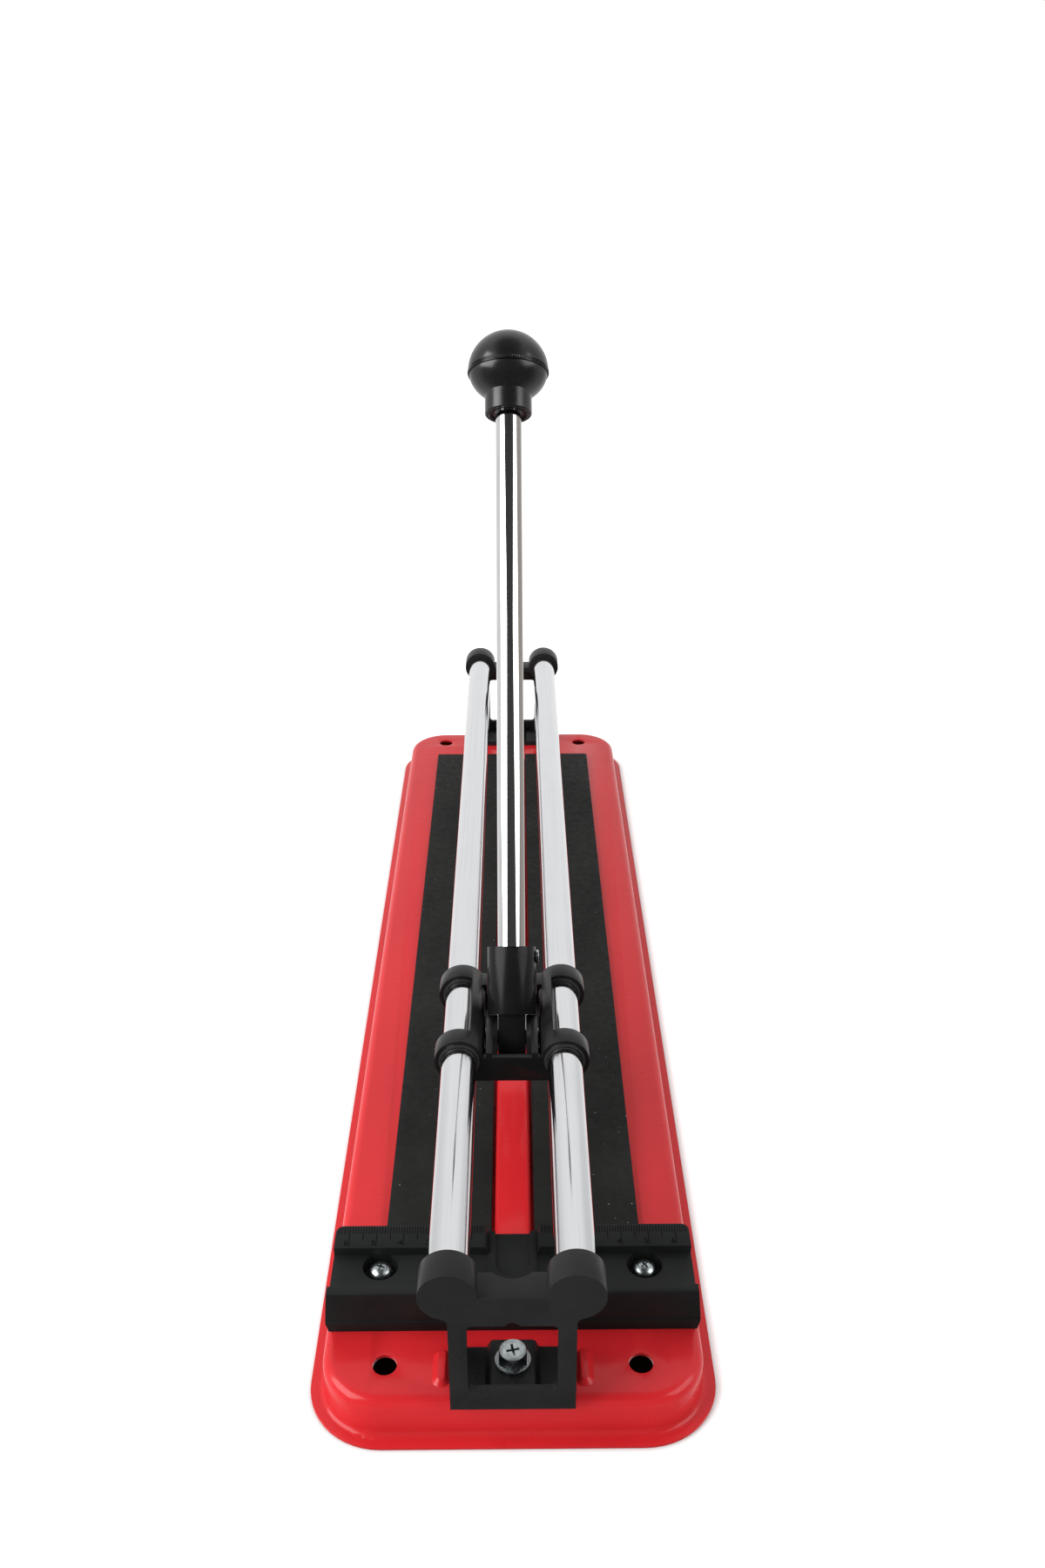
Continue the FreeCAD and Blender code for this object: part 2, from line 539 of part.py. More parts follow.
def carriage_side():
    """The right half of the carriage: rings, shell along the rail, floor and cheek."""
    near, far = CARRIAGE_Y - CARRIAGE_HALF, CARRIAGE_Y + CARRIAGE_HALF
    ring = rod_y(RING_R, near, near + RING_LENGTH, RAIL_X, RAIL_Z)
    ring_far = rod_y(RING_R, far - RING_LENGTH, far, RAIL_X, RAIL_Z)
    shell = rod_y(RING_R, near + 1, far - 1, RAIL_X, RAIL_Z)
    reach = 2 * RING_R
    open_x = RAIL_X - reach * math.cos(math.radians(SHELL_OPEN_DEG))
    wedge = plate_xz([(RAIL_X, RAIL_Z), (open_x, RAIL_Z + reach), (RAIL_X - 2 * reach, RAIL_Z + reach),
                      (RAIL_X - 2 * reach, RAIL_Z - reach), (open_x, RAIL_Z - reach)], near, far)
    shell = shell.common(wedge)
    cross_x = RAIL_X - CROSS_REACH
    floor = box(CHEEK_INNER_X, cross_x, near, far, CARRIAGE_BOTTOM_Z, FLOOR_TOP_Z)
    rear_y = PIVOT_Y + CHEEK_BOSS_R
    arc = []
    for degrees in range(10, 91, 10):
        angle = math.radians(degrees)
        arc.append((PIVOT_Y + CHEEK_BOSS_R * math.sin(angle), PIVOT_Z + CHEEK_BOSS_R * math.cos(angle)))
    cheek = plate_yz([(near, CARRIAGE_BOTTOM_Z), (rear_y, CARRIAGE_BOTTOM_Z)] + list(reversed(arc))
                     + [(PIVOT_Y + 0.6, CHEEK_TOP_Z - 0.3), (PIVOT_Y, CHEEK_TOP_Z), (near, CHEEK_TOP_Z)],
                     CHEEK_INNER_X, CHEEK_OUTER_X)
    bearing = box(BEARING_INNER_X, CHEEK_INNER_X + 0.1, near + 1, PIVOT_Y, CARRIAGE_BOTTOM_Z, BEARING_TOP_Z)
    boss = rod_x(CHEEK_BOSS_R, BEARING_INNER_X, CHEEK_INNER_X + 0.1, PIVOT_Y, PIVOT_Z)
    boss = boss.common(box(0, RAIL_X, near, far, CARRIAGE_BOTTOM_Z, RAIL_Z + RING_R))
    apron = box(0, CHEEK_INNER_X + 0.1, near + 1, PIVOT_Y - APRON_GAP, CARRIAGE_BOTTOM_Z, APRON_TOP_Z)
    web = box(0, cross_x, near, near + WEB_THICK, CARRIAGE_BOTTOM_Z, FRONT_WEB_TOP_Z)
    bar = box(0, cross_x, far - WEB_THICK, far, CARRIAGE_BOTTOM_Z, REAR_BAR_TOP_Z)
    gusset = box(CHEEK_OUTER_X + 0.2, cross_x - 2.0, far - RING_LENGTH, far, CARRIAGE_BOTTOM_Z, REAR_GUSSET_Z)
    side = union([ring, ring_far, shell, floor, cheek, bearing, boss, apron, web, bar, gusset])
    side = side.cut(rod_y(SHELL_INNER_R, near - 1, far + 1, RAIL_X, RAIL_Z))
    for y0 in (near, far - RING_LENGTH):
        side = side.cut(rod_y(BUSH_R, y0 - 0.01, y0 + RING_LENGTH + 0.01, RAIL_X, RAIL_Z))
    pocket = box(CHEEK_OUTER_X, CHEEK_OUTER_X + PIN_POCKET_DEPTH, PIVOT_Y - PIN_POCKET_HALF,
                 PIVOT_Y + PIN_POCKET_HALF, CARRIAGE_BOTTOM_Z - 1, PIVOT_Z)
    return side.cut(pocket).cut(rod_x(PIVOT_PIN_R, 0, RAIL_X, PIVOT_Y, PIVOT_Z))


def carriage():
    """The whole carriage casting."""
    return union(both_sides(carriage_side()))


def slide_bushes():
    """Four plain bushes between the carriage rings and the rails."""
    near, far = CARRIAGE_Y - CARRIAGE_HALF, CARRIAGE_Y + CARRIAGE_HALF
    bushes = []
    for x in (-RAIL_X, RAIL_X):
        for y0 in (near, far - RING_LENGTH):
            bush = rod_y(BUSH_R, y0, y0 + RING_LENGTH, x, RAIL_Z)
            bore = rod_y(RAIL_R + BUSH_CLEARANCE, y0 - 1, y0 + RING_LENGTH + 1, x, RAIL_Z)
            bushes.append(bush.cut(bore))
    return bushes


def pivot_pin():
    """The headed pin that the lever turns on."""
    head = rod_x(PIN_HEAD_R, -CHEEK_OUTER_X - PIN_HEAD, -CHEEK_OUTER_X, PIVOT_Y, PIVOT_Z)
    return union([head, rod_x(PIVOT_PIN_R, -CHEEK_OUTER_X - 0.1, CHEEK_OUTER_X + 1.2, PIVOT_Y, PIVOT_Z)])


def pivot_clip():
    """The retaining ring on the plain end of the pivot pin."""
    disc = rod_x(PIN_HEAD_R, CHEEK_OUTER_X, CHEEK_OUTER_X + PIN_CLIP, PIVOT_Y, PIVOT_Z)
    return disc.cut(rod_x(PIVOT_PIN_R, 0, RAIL_X, PIVOT_Y, PIVOT_Z))


# ---- lever: modelled upright with its pivot at the origin, then leaned into place

def lean(shape):
    """An upright lever piece leaned back and moved to the pivot."""
    placed = shape.copy()
    placed.rotate(vec(0, 0, 0), vec(1, 0, 0), -LEVER_LEAN_DEG)
    placed.translate(vec(0, PIVOT_Y, PIVOT_Z))
    return placed


def wheel_centre():
    """The wheel axle's place (y, z) in the upright lever's frame."""
    angle = math.radians(WHEEL_ARM_DEG)
    return WHEEL_ARM * math.sin(angle), WHEEL_ARM * math.cos(angle)


def lever_head():
    """The cast head: a socket for the rod, a tongue on the pin and a fork for the wheel."""
    wy, wz = wheel_centre()
    hub = rod_z(HUB_R, HUB_BOTTOM, HUB_TOP)
    tongue = union([rod_x(TONGUE_R, -TONGUE_HALF, TONGUE_HALF, 0, 0),
                    box(-TONGUE_HALF, TONGUE_HALF, -TONGUE_R, 0, -TONGUE_R + 0.6, HUB_BOTTOM + 1),
                    box(-TONGUE_HALF, TONGUE_HALF, -TONGUE_R, TONGUE_R, 0, HUB_BOTTOM + 1)])
    arm = union([rod_x(FORK_END_R, -FORK_HALF, FORK_HALF, wy, wz),
                 plate_yz([(0, -TONGUE_R + 1), (wy, wz - FORK_END_R), (wy, wz + FORK_END_R), (0, TONGUE_R)],
                          -FORK_HALF, FORK_HALF)])
    head = union([hub, tongue, arm])
    head = head.cut(rod_x(WHEEL_R + WHEEL_SLOT_PLAY, -FORK_SLOT_HALF, FORK_SLOT_HALF, wy, wz))
    head = head.cut(rod_x(AXLE_R, -HUB_R, HUB_R, wy, wz))
    head = head.cut(rod_x(PIVOT_PIN_R + RUNNING_FIT, -HUB_R, HUB_R, 0, 0))
    head = head.cut(rod_z(ROD_R, ROD_START, HUB_TOP + 1))
    return head.cut(rod_x(CLAMP_SCREW_R, 0, HUB_R + 1, 0, CLAMP_SCREW_HEIGHT))


def clamp_screw():
    """The small screw that locks the rod in the socket."""
    head = rod_x(CLAMP_HEAD_R, HUB_R, HUB_R + CLAMP_HEAD, 0, CLAMP_SCREW_HEIGHT)
    return union([head, rod_x(CLAMP_SCREW_R, ROD_R + RUNNING_FIT, HUB_R + 0.2, 0, CLAMP_SCREW_HEIGHT)])


def lever_rod():
    """The plated handle rod."""
    return rod_z(ROD_R, ROD_START, ROD_END)


def lower_half_spheroid(radius, depth):
    """The lower half of a flattened ball about the lever, centred on the knob's bowl."""
    curve = Part.Ellipse(vec(0, 0, 0), radius, depth)
    quarter = Part.Edge(curve, math.radians(270), math.radians(360))
    loop = Part.Wire([quarter, Part.makeLine(vec(radius, 0, 0), vec(0, 0, 0)),
                      Part.makeLine(vec(0, 0, 0), vec(0, -depth, 0))])
    face = Part.Face(loop)
    face.rotate(vec(0, 0, 0), vec(1, 0, 0), 90)
    face.translate(vec(0, 0, BOWL_CENTRE))
    return face.revolve(vec(0, 0, 0), vec(0, 0, 1), 360)


def knob_base():
    """The lower shell of the ball knob, with its collar."""
    bowl = lower_half_spheroid(BOWL_R, BOWL_DEPTH)
    hollow = lower_half_spheroid(BOWL_R - KNOB_WALL, BOWL_DEPTH - KNOB_WALL)
    hollow = hollow.cut(rod_z(COLLAR_R - COLLAR_CORE_INSET, 0, ROD_END))
    collar = rod_z(COLLAR_R, COLLAR_BOTTOM, ROD_END)
    body = union([bowl.cut(hollow), collar])
    body = body.common(rod_z(DOME_R, COLLAR_BOTTOM, SEAM_HEIGHT))
    relief = rod_z(COLLAR_R - COLLAR_RIM, COLLAR_BOTTOM - 1, COLLAR_BOTTOM + COLLAR_RECESS)
    relief = relief.cut(rod_z(ROD_R + COLLAR_SLEEVE, 0, ROD_END))
    return body.cut(relief).cut(rod_z(ROD_R, 0, ROD_END + 0.4))


def knob_cap():
    """The domed upper shell of the ball knob."""
    dome = Part.makeSphere(DOME_R, vec(0, 0, DOME_CENTRE))
    dome = dome.cut(Part.makeSphere(DOME_R - KNOB_WALL, vec(0, 0, DOME_CENTRE)))
    return dome.common(rod_z(DOME_R + 1, SEAM_HEIGHT, DOME_CENTRE + DOME_R + 1))


def wheel_axle():
    """The headed axle of the scoring wheel."""
    wy, wz = wheel_centre()
    seat_x = STRAP_OUTER_X + STRAP_PLAY
    head = rod_x(AXLE_HEAD_R, -seat_x - AXLE_HEAD, -seat_x, wy, wz)
    return union([head, rod_x(AXLE_R, -seat_x - 0.2, seat_x + AXLE_CLIP + 0.5, wy, wz)])


def axle_clip():
    """The retaining ring on the wheel axle."""
    wy, wz = wheel_centre()
    seat_x = STRAP_OUTER_X + STRAP_PLAY
    disc = rod_x(AXLE_CLIP_R, seat_x, seat_x + AXLE_CLIP, wy, wz)
    return disc.cut(rod_x(AXLE_R, 0, RAIL_X, wy, wz))


def cutting_wheel():
    """The scoring wheel: a disc with a rim ground to an edge on both sides."""
    wy, wz = wheel_centre()
    half = [(AXLE_R + RUNNING_FIT, WHEEL_HALF_THICK), (WHEEL_R - WHEEL_BEVEL, WHEEL_HALF_THICK),
            (WHEEL_R, WHEEL_EDGE_HALF)]
    loop = [vec(x, 0, r) for r, x in half] + [vec(-x, 0, r) for r, x in reversed(half)]
    face = Part.Face(Part.makePolygon(loop + loop[:1]))
    disc = face.revolve(vec(0, 0, 0), vec(1, 0, 0), 360)
    disc.translate(vec(0, wy, wz))
    return disc


def breaker_foot():
    """The breaker foot: a strap on the wheel axle with two wings, folded behind the wheel."""
    wing_root = FOOT_RADIUS - FOOT_PAD_THICK - 0.4
    strap = union([rod_x(FORK_END_R, STRAP_INNER_X, STRAP_OUTER_X, 0, 0),
                   box(STRAP_INNER_X, STRAP_OUTER_X, -FOOT_HALF_RUN, FOOT_HALF_RUN, 0, wing_root + 1)])
    wings = plate_xz([(-FOOT_HALF_WIDTH, FOOT_RADIUS), (-FOOT_HALF_WIDTH, FOOT_RADIUS - FOOT_PAD_THICK),
                      (0, wing_root - 0.9), (FOOT_HALF_WIDTH, FOOT_RADIUS - FOOT_PAD_THICK),
                      (FOOT_HALF_WIDTH, FOOT_RADIUS), (0, FOOT_RADIUS - FOOT_CROTCH)],
                     -FOOT_HALF_RUN, FOOT_HALF_RUN)
    foot = union([wings] + both_sides(strap))
    foot = foot.cut(rod_x(AXLE_R + RUNNING_FIT, -RAIL_X, RAIL_X, 0, 0))
    wy, wz = wheel_centre()
    foot.rotate(vec(0, 0, 0), vec(1, 0, 0), -(FOOT_REST_DEG - LEVER_LEAN_DEG))
    foot.translate(vec(0, wy, wz))
    return foot


def save(name, solids):
    """Write one node, from a solid or a list of separate solids."""
    shape = Part.makeCompound(solids) if isinstance(solids, list) else solids
    if shape.ShapeType == "Compound" and len(shape.Solids) == 1:
        shape = shape.Solids[0]
    shape.exportStep("parts/%s.step" % name)
    print("%-14s solids %d  valid %s" % (name, len(shape.Solids), shape.isValid()))


def main():
    """Build every node and write it to parts/."""
    os.makedirs("parts", exist_ok=True)
    bracket, bolt, rail, pad = near_bracket(), bracket_bolt(), right_rail(), right_pad()
    nodes = {
        "base_plate": base_plate(), "left_pad": mirror_x(pad), "right_pad": pad,
        "fence": fence(), "fence_screws": fence_screws(), "fence_nuts": fence_nuts(),
        "near_bracket": bracket, "far_bracket": turn_half(bracket),
        "near_bolt": bolt, "far_bolt": turn_half(bolt), "bracket_nuts": bracket_nuts(),
        "left_rail": mirror_x(rail), "right_rail": rail,
        "carriage": carriage(), "slide_bushes": slide_bushes(),
        "pivot_pin": pivot_pin(), "pivot_clip": pivot_clip(),
        "lever_head": lean(lever_head()), "clamp_screw": lean(clamp_screw()),
        "lever_rod": lean(lever_rod()), "knob_base": lean(knob_base()), "knob_cap": lean(knob_cap()),
        "wheel_axle": lean(wheel_axle()), "axle_clip": lean(axle_clip()),
        "cutting_wheel": lean(cutting_wheel()), "breaker_foot": lean(breaker_foot()),
    }
    for name, solids in nodes.items():
        save(name, solids)


main()
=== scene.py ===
"""A manual tile cutter dressed for a studio view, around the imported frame."""
import json
import logging
import math
from dataclasses import dataclass
from enum import Enum

import bpy
from mathutils import Euler, Matrix, Vector


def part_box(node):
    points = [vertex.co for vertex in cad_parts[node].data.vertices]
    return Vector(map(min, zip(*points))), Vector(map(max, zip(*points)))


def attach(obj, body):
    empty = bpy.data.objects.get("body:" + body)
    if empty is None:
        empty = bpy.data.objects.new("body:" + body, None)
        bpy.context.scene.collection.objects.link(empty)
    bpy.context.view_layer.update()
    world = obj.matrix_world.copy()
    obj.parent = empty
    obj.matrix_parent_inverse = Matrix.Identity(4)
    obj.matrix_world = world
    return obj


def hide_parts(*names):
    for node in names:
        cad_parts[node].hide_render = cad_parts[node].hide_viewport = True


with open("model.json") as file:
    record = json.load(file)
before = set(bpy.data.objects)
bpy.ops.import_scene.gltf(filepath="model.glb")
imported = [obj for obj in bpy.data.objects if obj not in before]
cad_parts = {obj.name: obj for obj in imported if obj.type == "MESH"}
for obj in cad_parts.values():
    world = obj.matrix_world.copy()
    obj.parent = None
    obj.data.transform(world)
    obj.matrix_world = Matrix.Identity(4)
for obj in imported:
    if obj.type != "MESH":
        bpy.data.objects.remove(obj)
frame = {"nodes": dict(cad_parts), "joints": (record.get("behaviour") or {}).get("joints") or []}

MM = 0.001
LEVER_LEAN = math.radians(35.0)
MERGE_GAP = 0.00001
CAD_MERGE_GAP = 0.000002
FLAT_ENOUGH = math.radians(0.6)
CRISP_ANGLE = 30.0
LOG = logging.getLogger("tile_cutter")


class Body(Enum):
    """The rigid bodies that pieces ride on."""

    FRAME = "frame"
    CARRIAGE = "carriage"
    LEVER = "lever"
    WHEEL = "wheel"
    BREAKER = "breaker"


class Side(Enum):
    """The two sides of the cutter, seen from the near end."""

    LEFT = "left"
    RIGHT = "right"


class End(Enum):
    """The two ends of the tray."""

    NEAR = "near"
    FAR = "far"


class Axis(Enum):
    """Directions that a lathe or a pattern may follow."""

    X = (1.0, 0.0, 0.0)
    Y = (0.0, 1.0, 0.0)
    Z = (0.0, 0.0, 1.0)


# ---------------------------------------------------------------- finishes


class Shader:
    """A small helper that lays out one material's nodes."""

    def __init__(self, name: str) -> None:
        """Start an empty material.

        Args:
            name: The material's name.
        """
        self.material = bpy.data.materials.new(name)
        self.material["slot"] = name
        self.material.use_nodes = True
        self.tree = self.material.node_tree
        self.surface = self.tree.nodes["Principled BSDF"]
        self.place = self.node("ShaderNodeTexCoord").outputs["Object"]

    def node(self, kind: str, **settings: object) -> bpy.types.Node:
        """Add a node and set its properties.

        Args:
            kind: The node's type name.
            settings: Properties to set on the node.

        Returns:
            The new node.
        """
        made = self.tree.nodes.new(kind)
        for key, value in settings.items():
            setattr(made, key, value)
        return made

    def join(self, source: bpy.types.NodeSocket, target: bpy.types.NodeSocket) -> None:
        """Link two sockets.

        Args:
            source: The output socket.
            target: The input socket.
        """
        self.tree.links.new(source, target)

    def stretched(self, scale: tuple[float, float, float], turn: float = 0.0) -> bpy.types.NodeSocket:
        """Object coordinates, turned about X and then scaled.

        Args:
            scale: Scale along X, Y and Z.
            turn: Turn about X in radians.

        Returns:
            The mapped coordinate socket.
        """
        turned = self.node("ShaderNodeMapping")
        turned.inputs["Rotation"].default_value = (turn, 0.0, 0.0)
        self.join(self.place, turned.inputs["Vector"])
        scaled = self.node("ShaderNodeMapping")
        scaled.inputs["Scale"].default_value = scale
        self.join(turned.outputs["Vector"], scaled.inputs["Vector"])
        return scaled.outputs["Vector"]

    def noise(self, scale: float, detail: float = 3.0,
              vector: bpy.types.NodeSocket | None = None) -> bpy.types.NodeSocket:
        """A noise pattern.

        Args:
            scale: Pattern scale, in cells per metre.
            detail: Octaves of detail.
            vector: Coordinates, or None for plain object coordinates.

        Returns:
            The noise factor socket.
        """
        made = self.node("ShaderNodeTexNoise")
        made.inputs["Scale"].default_value = scale
        made.inputs["Detail"].default_value = detail
        self.join(vector or self.place, made.inputs["Vector"])
        return made.outputs["Fac"]

    def spread(self, factor: bpy.types.NodeSocket, low: float, high: float,
               start: float = 0.3, end: float = 0.7) -> bpy.types.NodeSocket:
        """Map a factor's middle range onto a range of values.

        Args:
            factor: The factor socket.
            low: Value at the start of the range.
            high: Value at the end of the range.
            start: Factor that gives the low value.
            end: Factor that gives the high value.

        Returns:
            The mapped value socket.
        """
        made = self.node("ShaderNodeMapRange")
        made.inputs["From Min"].default_value = start
        made.inputs["From Max"].default_value = end
        made.inputs["To Min"].default_value = low
        made.inputs["To Max"].default_value = high
        self.join(factor, made.inputs["Value"])
        return made.outputs["Result"]

    def sum(self, operation: str, a: bpy.types.NodeSocket,
            b: bpy.types.NodeSocket | float) -> bpy.types.NodeSocket:
        """One arithmetic step between two values.

        Args:
            operation: The step's name.
            a: The first value.
            b: The second value, a socket or a number.

        Returns:
            The result socket.
        """
        made = self.node("ShaderNodeMath", operation=operation)
        self.join(a, made.inputs[0])
        if isinstance(b, float):
            made.inputs[1].default_value = b
        else:
            self.join(b, made.inputs[1])
        return made.outputs["Value"]

    def vector(self, operation: str, a: bpy.types.NodeSocket,
               b: tuple[float, float, float] | None = None) -> bpy.types.NodeSocket:
        """One step of vector arithmetic with an optional constant.

        Args:
            operation: The step's name.
            a: The first vector.
            b: A constant second vector, where the step needs one.

        Returns:
            The result socket.
        """
        made = self.node("ShaderNodeVectorMath", operation=operation)
        self.join(a, made.inputs[0])
        if b is not None:
            made.inputs[1].default_value = b
        return made.outputs["Value" if operation == "LENGTH" else "Vector"]

    def blend(self, factor: bpy.types.NodeSocket, first: object, second: object) -> bpy.types.NodeSocket:
        """Mix two colours.

        Args:
            factor: Zero for the first colour, one for the second.
            first: The first colour, a socket or an (r, g, b) tuple.
            second: The second colour, a socket or an (r, g, b) tuple.

        Returns:
            The mixed colour socket.
        """
        made = self.node("ShaderNodeMix", data_type="RGBA")
        self.join(factor, made.inputs["Factor"])
        for socket, colour in ((made.inputs[6], first), (made.inputs[7], second)):
            if isinstance(colour, tuple):
                socket.default_value = (*colour, 1.0)
            else:
                self.join(colour, socket)
        return made.outputs[2]

    def dust(self, cells: float, share: float, size: float) -> bpy.types.NodeSocket:
        """Scattered specks of dust.

        Args:
            cells: Cells per metre, each of which may hold one speck.
            share: Share of the cells that hold a speck.
            size: Speck radius as a share of a cell.

        Returns:
            A factor that is one on a speck.
        """
        grid = self.node("ShaderNodeTexVoronoi")
        grid.inputs["Scale"].default_value = cells
        self.join(self.place, grid.inputs["Vector"])
        parts = self.node("ShaderNodeSeparateColor")
        self.join(grid.outputs["Color"], parts.inputs["Color"])
        chosen = self.sum("GREATER_THAN", parts.outputs[0], 1.0 - share)
        radius = self.sum("MULTIPLY", parts.outputs[1], size)
        near = self.sum("LESS_THAN", grid.outputs["Distance"], radius)
        return self.sum("MULTIPLY", near, chosen)

    def relief(self, height: bpy.types.NodeSocket, depth: float, strength: float = 1.0) -> None:
        """Feed a height pattern to the surface as bump.

        Args:
            height: The height socket.
            depth: Depth of the relief in metres.
            strength: How strongly the relief shows.
        """
        made = self.node("ShaderNodeBump")
        made.inputs["Distance"].default_value = depth
        made.inputs["Strength"].default_value = strength
        self.join(height, made.inputs["Height"])
        self.join(made.outputs["Normal"], self.surface.inputs["Normal"])

    def fix(self, **values: float) -> None:
        """Set constant sockets.

        Args:
            values: Socket names, with underscores for spaces, and their values.
        """
        for key, value in values.items():
            self.surface.inputs[key.replace("_", " ")].default_value = value


@dataclass(frozen=True)
class PowderPaint:
    """Glossy baked paint on sheet steel."""

    name: str
    colour: tuple[float, float, float]
    deep: tuple[float, float, float]
    gloss: float = 0.30
    coat: float = 0.26
    coat_roughness: float = 0.12
    shine: float = 0.12
    cloud_cells: float = 14.0
    smear_cells: float = 120.0
    peel_cells: float = 900.0
    peel_depth: float = 0.00001

    def material(self) -> bpy.types.Material:
        """Make the paint: slight shade changes and orange peel.

        Returns:
            The finished material.
        """
        shader = Shader(self.name)
        cloudy = shader.spread(shader.noise(self.cloud_cells, 4.0), 0.0, 1.0)
        shader.join(shader.blend(cloudy, self.colour, self.deep), shader.surface.inputs["Base Color"])
        rough = shader.spread(shader.noise(self.smear_cells, 3.0), self.gloss - 0.04, self.gloss + 0.06)
        shader.join(rough, shader.surface.inputs["Roughness"])
        shader.relief(shader.noise(self.peel_cells, 2.0), self.peel_depth, 0.4)
        shader.fix(Coat_Weight=self.coat, Coat_Roughness=self.coat_roughness, Specular_IOR_Level=self.shine)
        return shader.material


@dataclass(frozen=True)
class Moulding:
    """Satin black moulded plastic or painted casting with a fine spark-eroded grain."""

    name: str
    colour: tuple[float, float, float]
    worn: tuple[float, float, float]
    roughness: float = 0.42
    grain: float = 0.00003
    dust_share: float = 0.10
    sheen: float = 0.28
    dust_colour: tuple[float, float, float] = (0.42, 0.42, 0.40)
    dust_cells: float = 170.0
    dust_size: float = 0.05
    flow_cells: float = 60.0
    smear_cells: float = 200.0
    grain_cells: float = 2600.0

    def material(self) -> bpy.types.Material:
        """Make the moulding: grain, faint flow marks and dust.

        Returns:
            The finished material.
        """
        shader = Shader(self.name)
        flow = shader.spread(shader.noise(self.flow_cells, 5.0), 0.0, 1.0)
        colour = shader.blend(flow, self.colour, self.worn)
        specks = shader.dust(self.dust_cells, self.dust_share, self.dust_size)
        shader.join(shader.blend(specks, colour, self.dust_colour), shader.surface.inputs["Base Color"])
        smears = shader.noise(self.smear_cells, 4.0)
        rough = shader.spread(smears, self.roughness - 0.05, self.roughness + 0.07)
        shader.join(rough, shader.surface.inputs["Roughness"])
        shader.relief(shader.noise(self.grain_cells, 2.0), self.grain, 0.6)
        shader.fix(Specular_IOR_Level=self.sheen)
        return shader.material


@dataclass(frozen=True)
class RubberSheet:
    """Matt black rubber with a leathery surface and lint on it."""

    name: str
    colour: tuple[float, float, float]
    chalky: tuple[float, float, float]
    lint: tuple[float, float, float] = (0.34, 0.34, 0.32)
    chalk_cells: float = 35.0
    smear_cells: float = 300.0
    pore_cells: float = 1500.0
    pore_depth: float = 0.00007

    def material(self) -> bpy.types.Material:
        """Make the rubber: cloudy chalking, fine pores and scattered lint.

        Returns:
            The finished material.
        """
        shader = Shader(self.name)
        cloudy = shader.spread(shader.noise(self.chalk_cells, 6.0), 0.0, 1.0)
        colour = shader.blend(cloudy, self.colour, self.chalky)
        coarse = shader.dust(120.0, 0.30, 0.05)
        fine = shader.dust(420.0, 0.22, 0.09)
        specks = shader.sum("MAXIMUM", coarse, fine)
        shader.join(shader.blend(specks, colour, self.lint), shader.surface.inputs["Base Color"])
        rough = shader.spread(shader.noise(self.smear_cells, 3.0), 0.62, 0.82)
        shader.join(rough, shader.surface.inputs["Roughness"])
        shader.relief(shader.noise(self.pore_cells, 4.0), self.pore_depth, 0.8)
        shader.fix(Specular_IOR_Level=0.15)
        return shader.material


@dataclass(frozen=True)
class Plating:
    """Bright metal with streaks drawn along one direction, and optionally a painted shade band on one side.
    """

    name: str
    colour: tuple[float, float, float]
    # colour of the streaks, also the colour of the painted shade band on one side
    tarnish: tuple[float, float, float]
    smooth: float
    rough: float
    across: float = 900.0
    along: float = 9.0
    lean: float = 0.0
    upright: bool = False
    ripple: float = 0.000004
    ripple_cells: float = 420.0
    patch_cells: float = 55.0
    worn_side: tuple[float, float] | None = None

    def material(self) -> bpy.types.Material:
        """Make the plating: drawn streaks in colour and gloss, a faint ripple, and where asked a painted
        shade band that darkens and roughens one side.

        Returns:
            The finished material.
        """
        shader = Shader(self.name)
        scale = (self.across, self.along, self.across)
        if self.upright:
            scale = (self.across, self.across, self.along)
        lines = shader.stretched(scale, self.lean)
        streaks = shader.noise(1.0, 4.0, lines)
        patches = shader.noise(self.patch_cells, 4.0)
        both = shader.sum("MULTIPLY", shader.spread(streaks, 0.0, 1.0, 0.35, 0.75),
                          shader.spread(patches, 0.35, 1.0, 0.35, 0.65))
        # painted shade: between two X positions the metal turns towards the darker colour, so the +X side
        # reads as shaded
        if self.worn_side:
            split = shader.node("ShaderNodeSeparateXYZ")
            shader.join(shader.place, split.inputs["Vector"])
            start, end = (edge * MM for edge in self.worn_side)
            side = shader.spread(split.outputs["X"], 0.0, 0.85, start, end)
            both = shader.sum("MAXIMUM", shader.sum("MULTIPLY", both, 0.35), side)
        shader.join(shader.blend(both, self.colour, self.tarnish), shader.surface.inputs["Base Color"])
        rough = shader.spread(both, self.smooth, self.rough, 0.0, 1.0)
        shader.join(rough, shader.surface.inputs["Roughness"])
        shader.relief(shader.noise(self.ripple_cells, 3.0), self.ripple, 1.0)
        shader.fix(Metallic=1.0)
        return shader.material


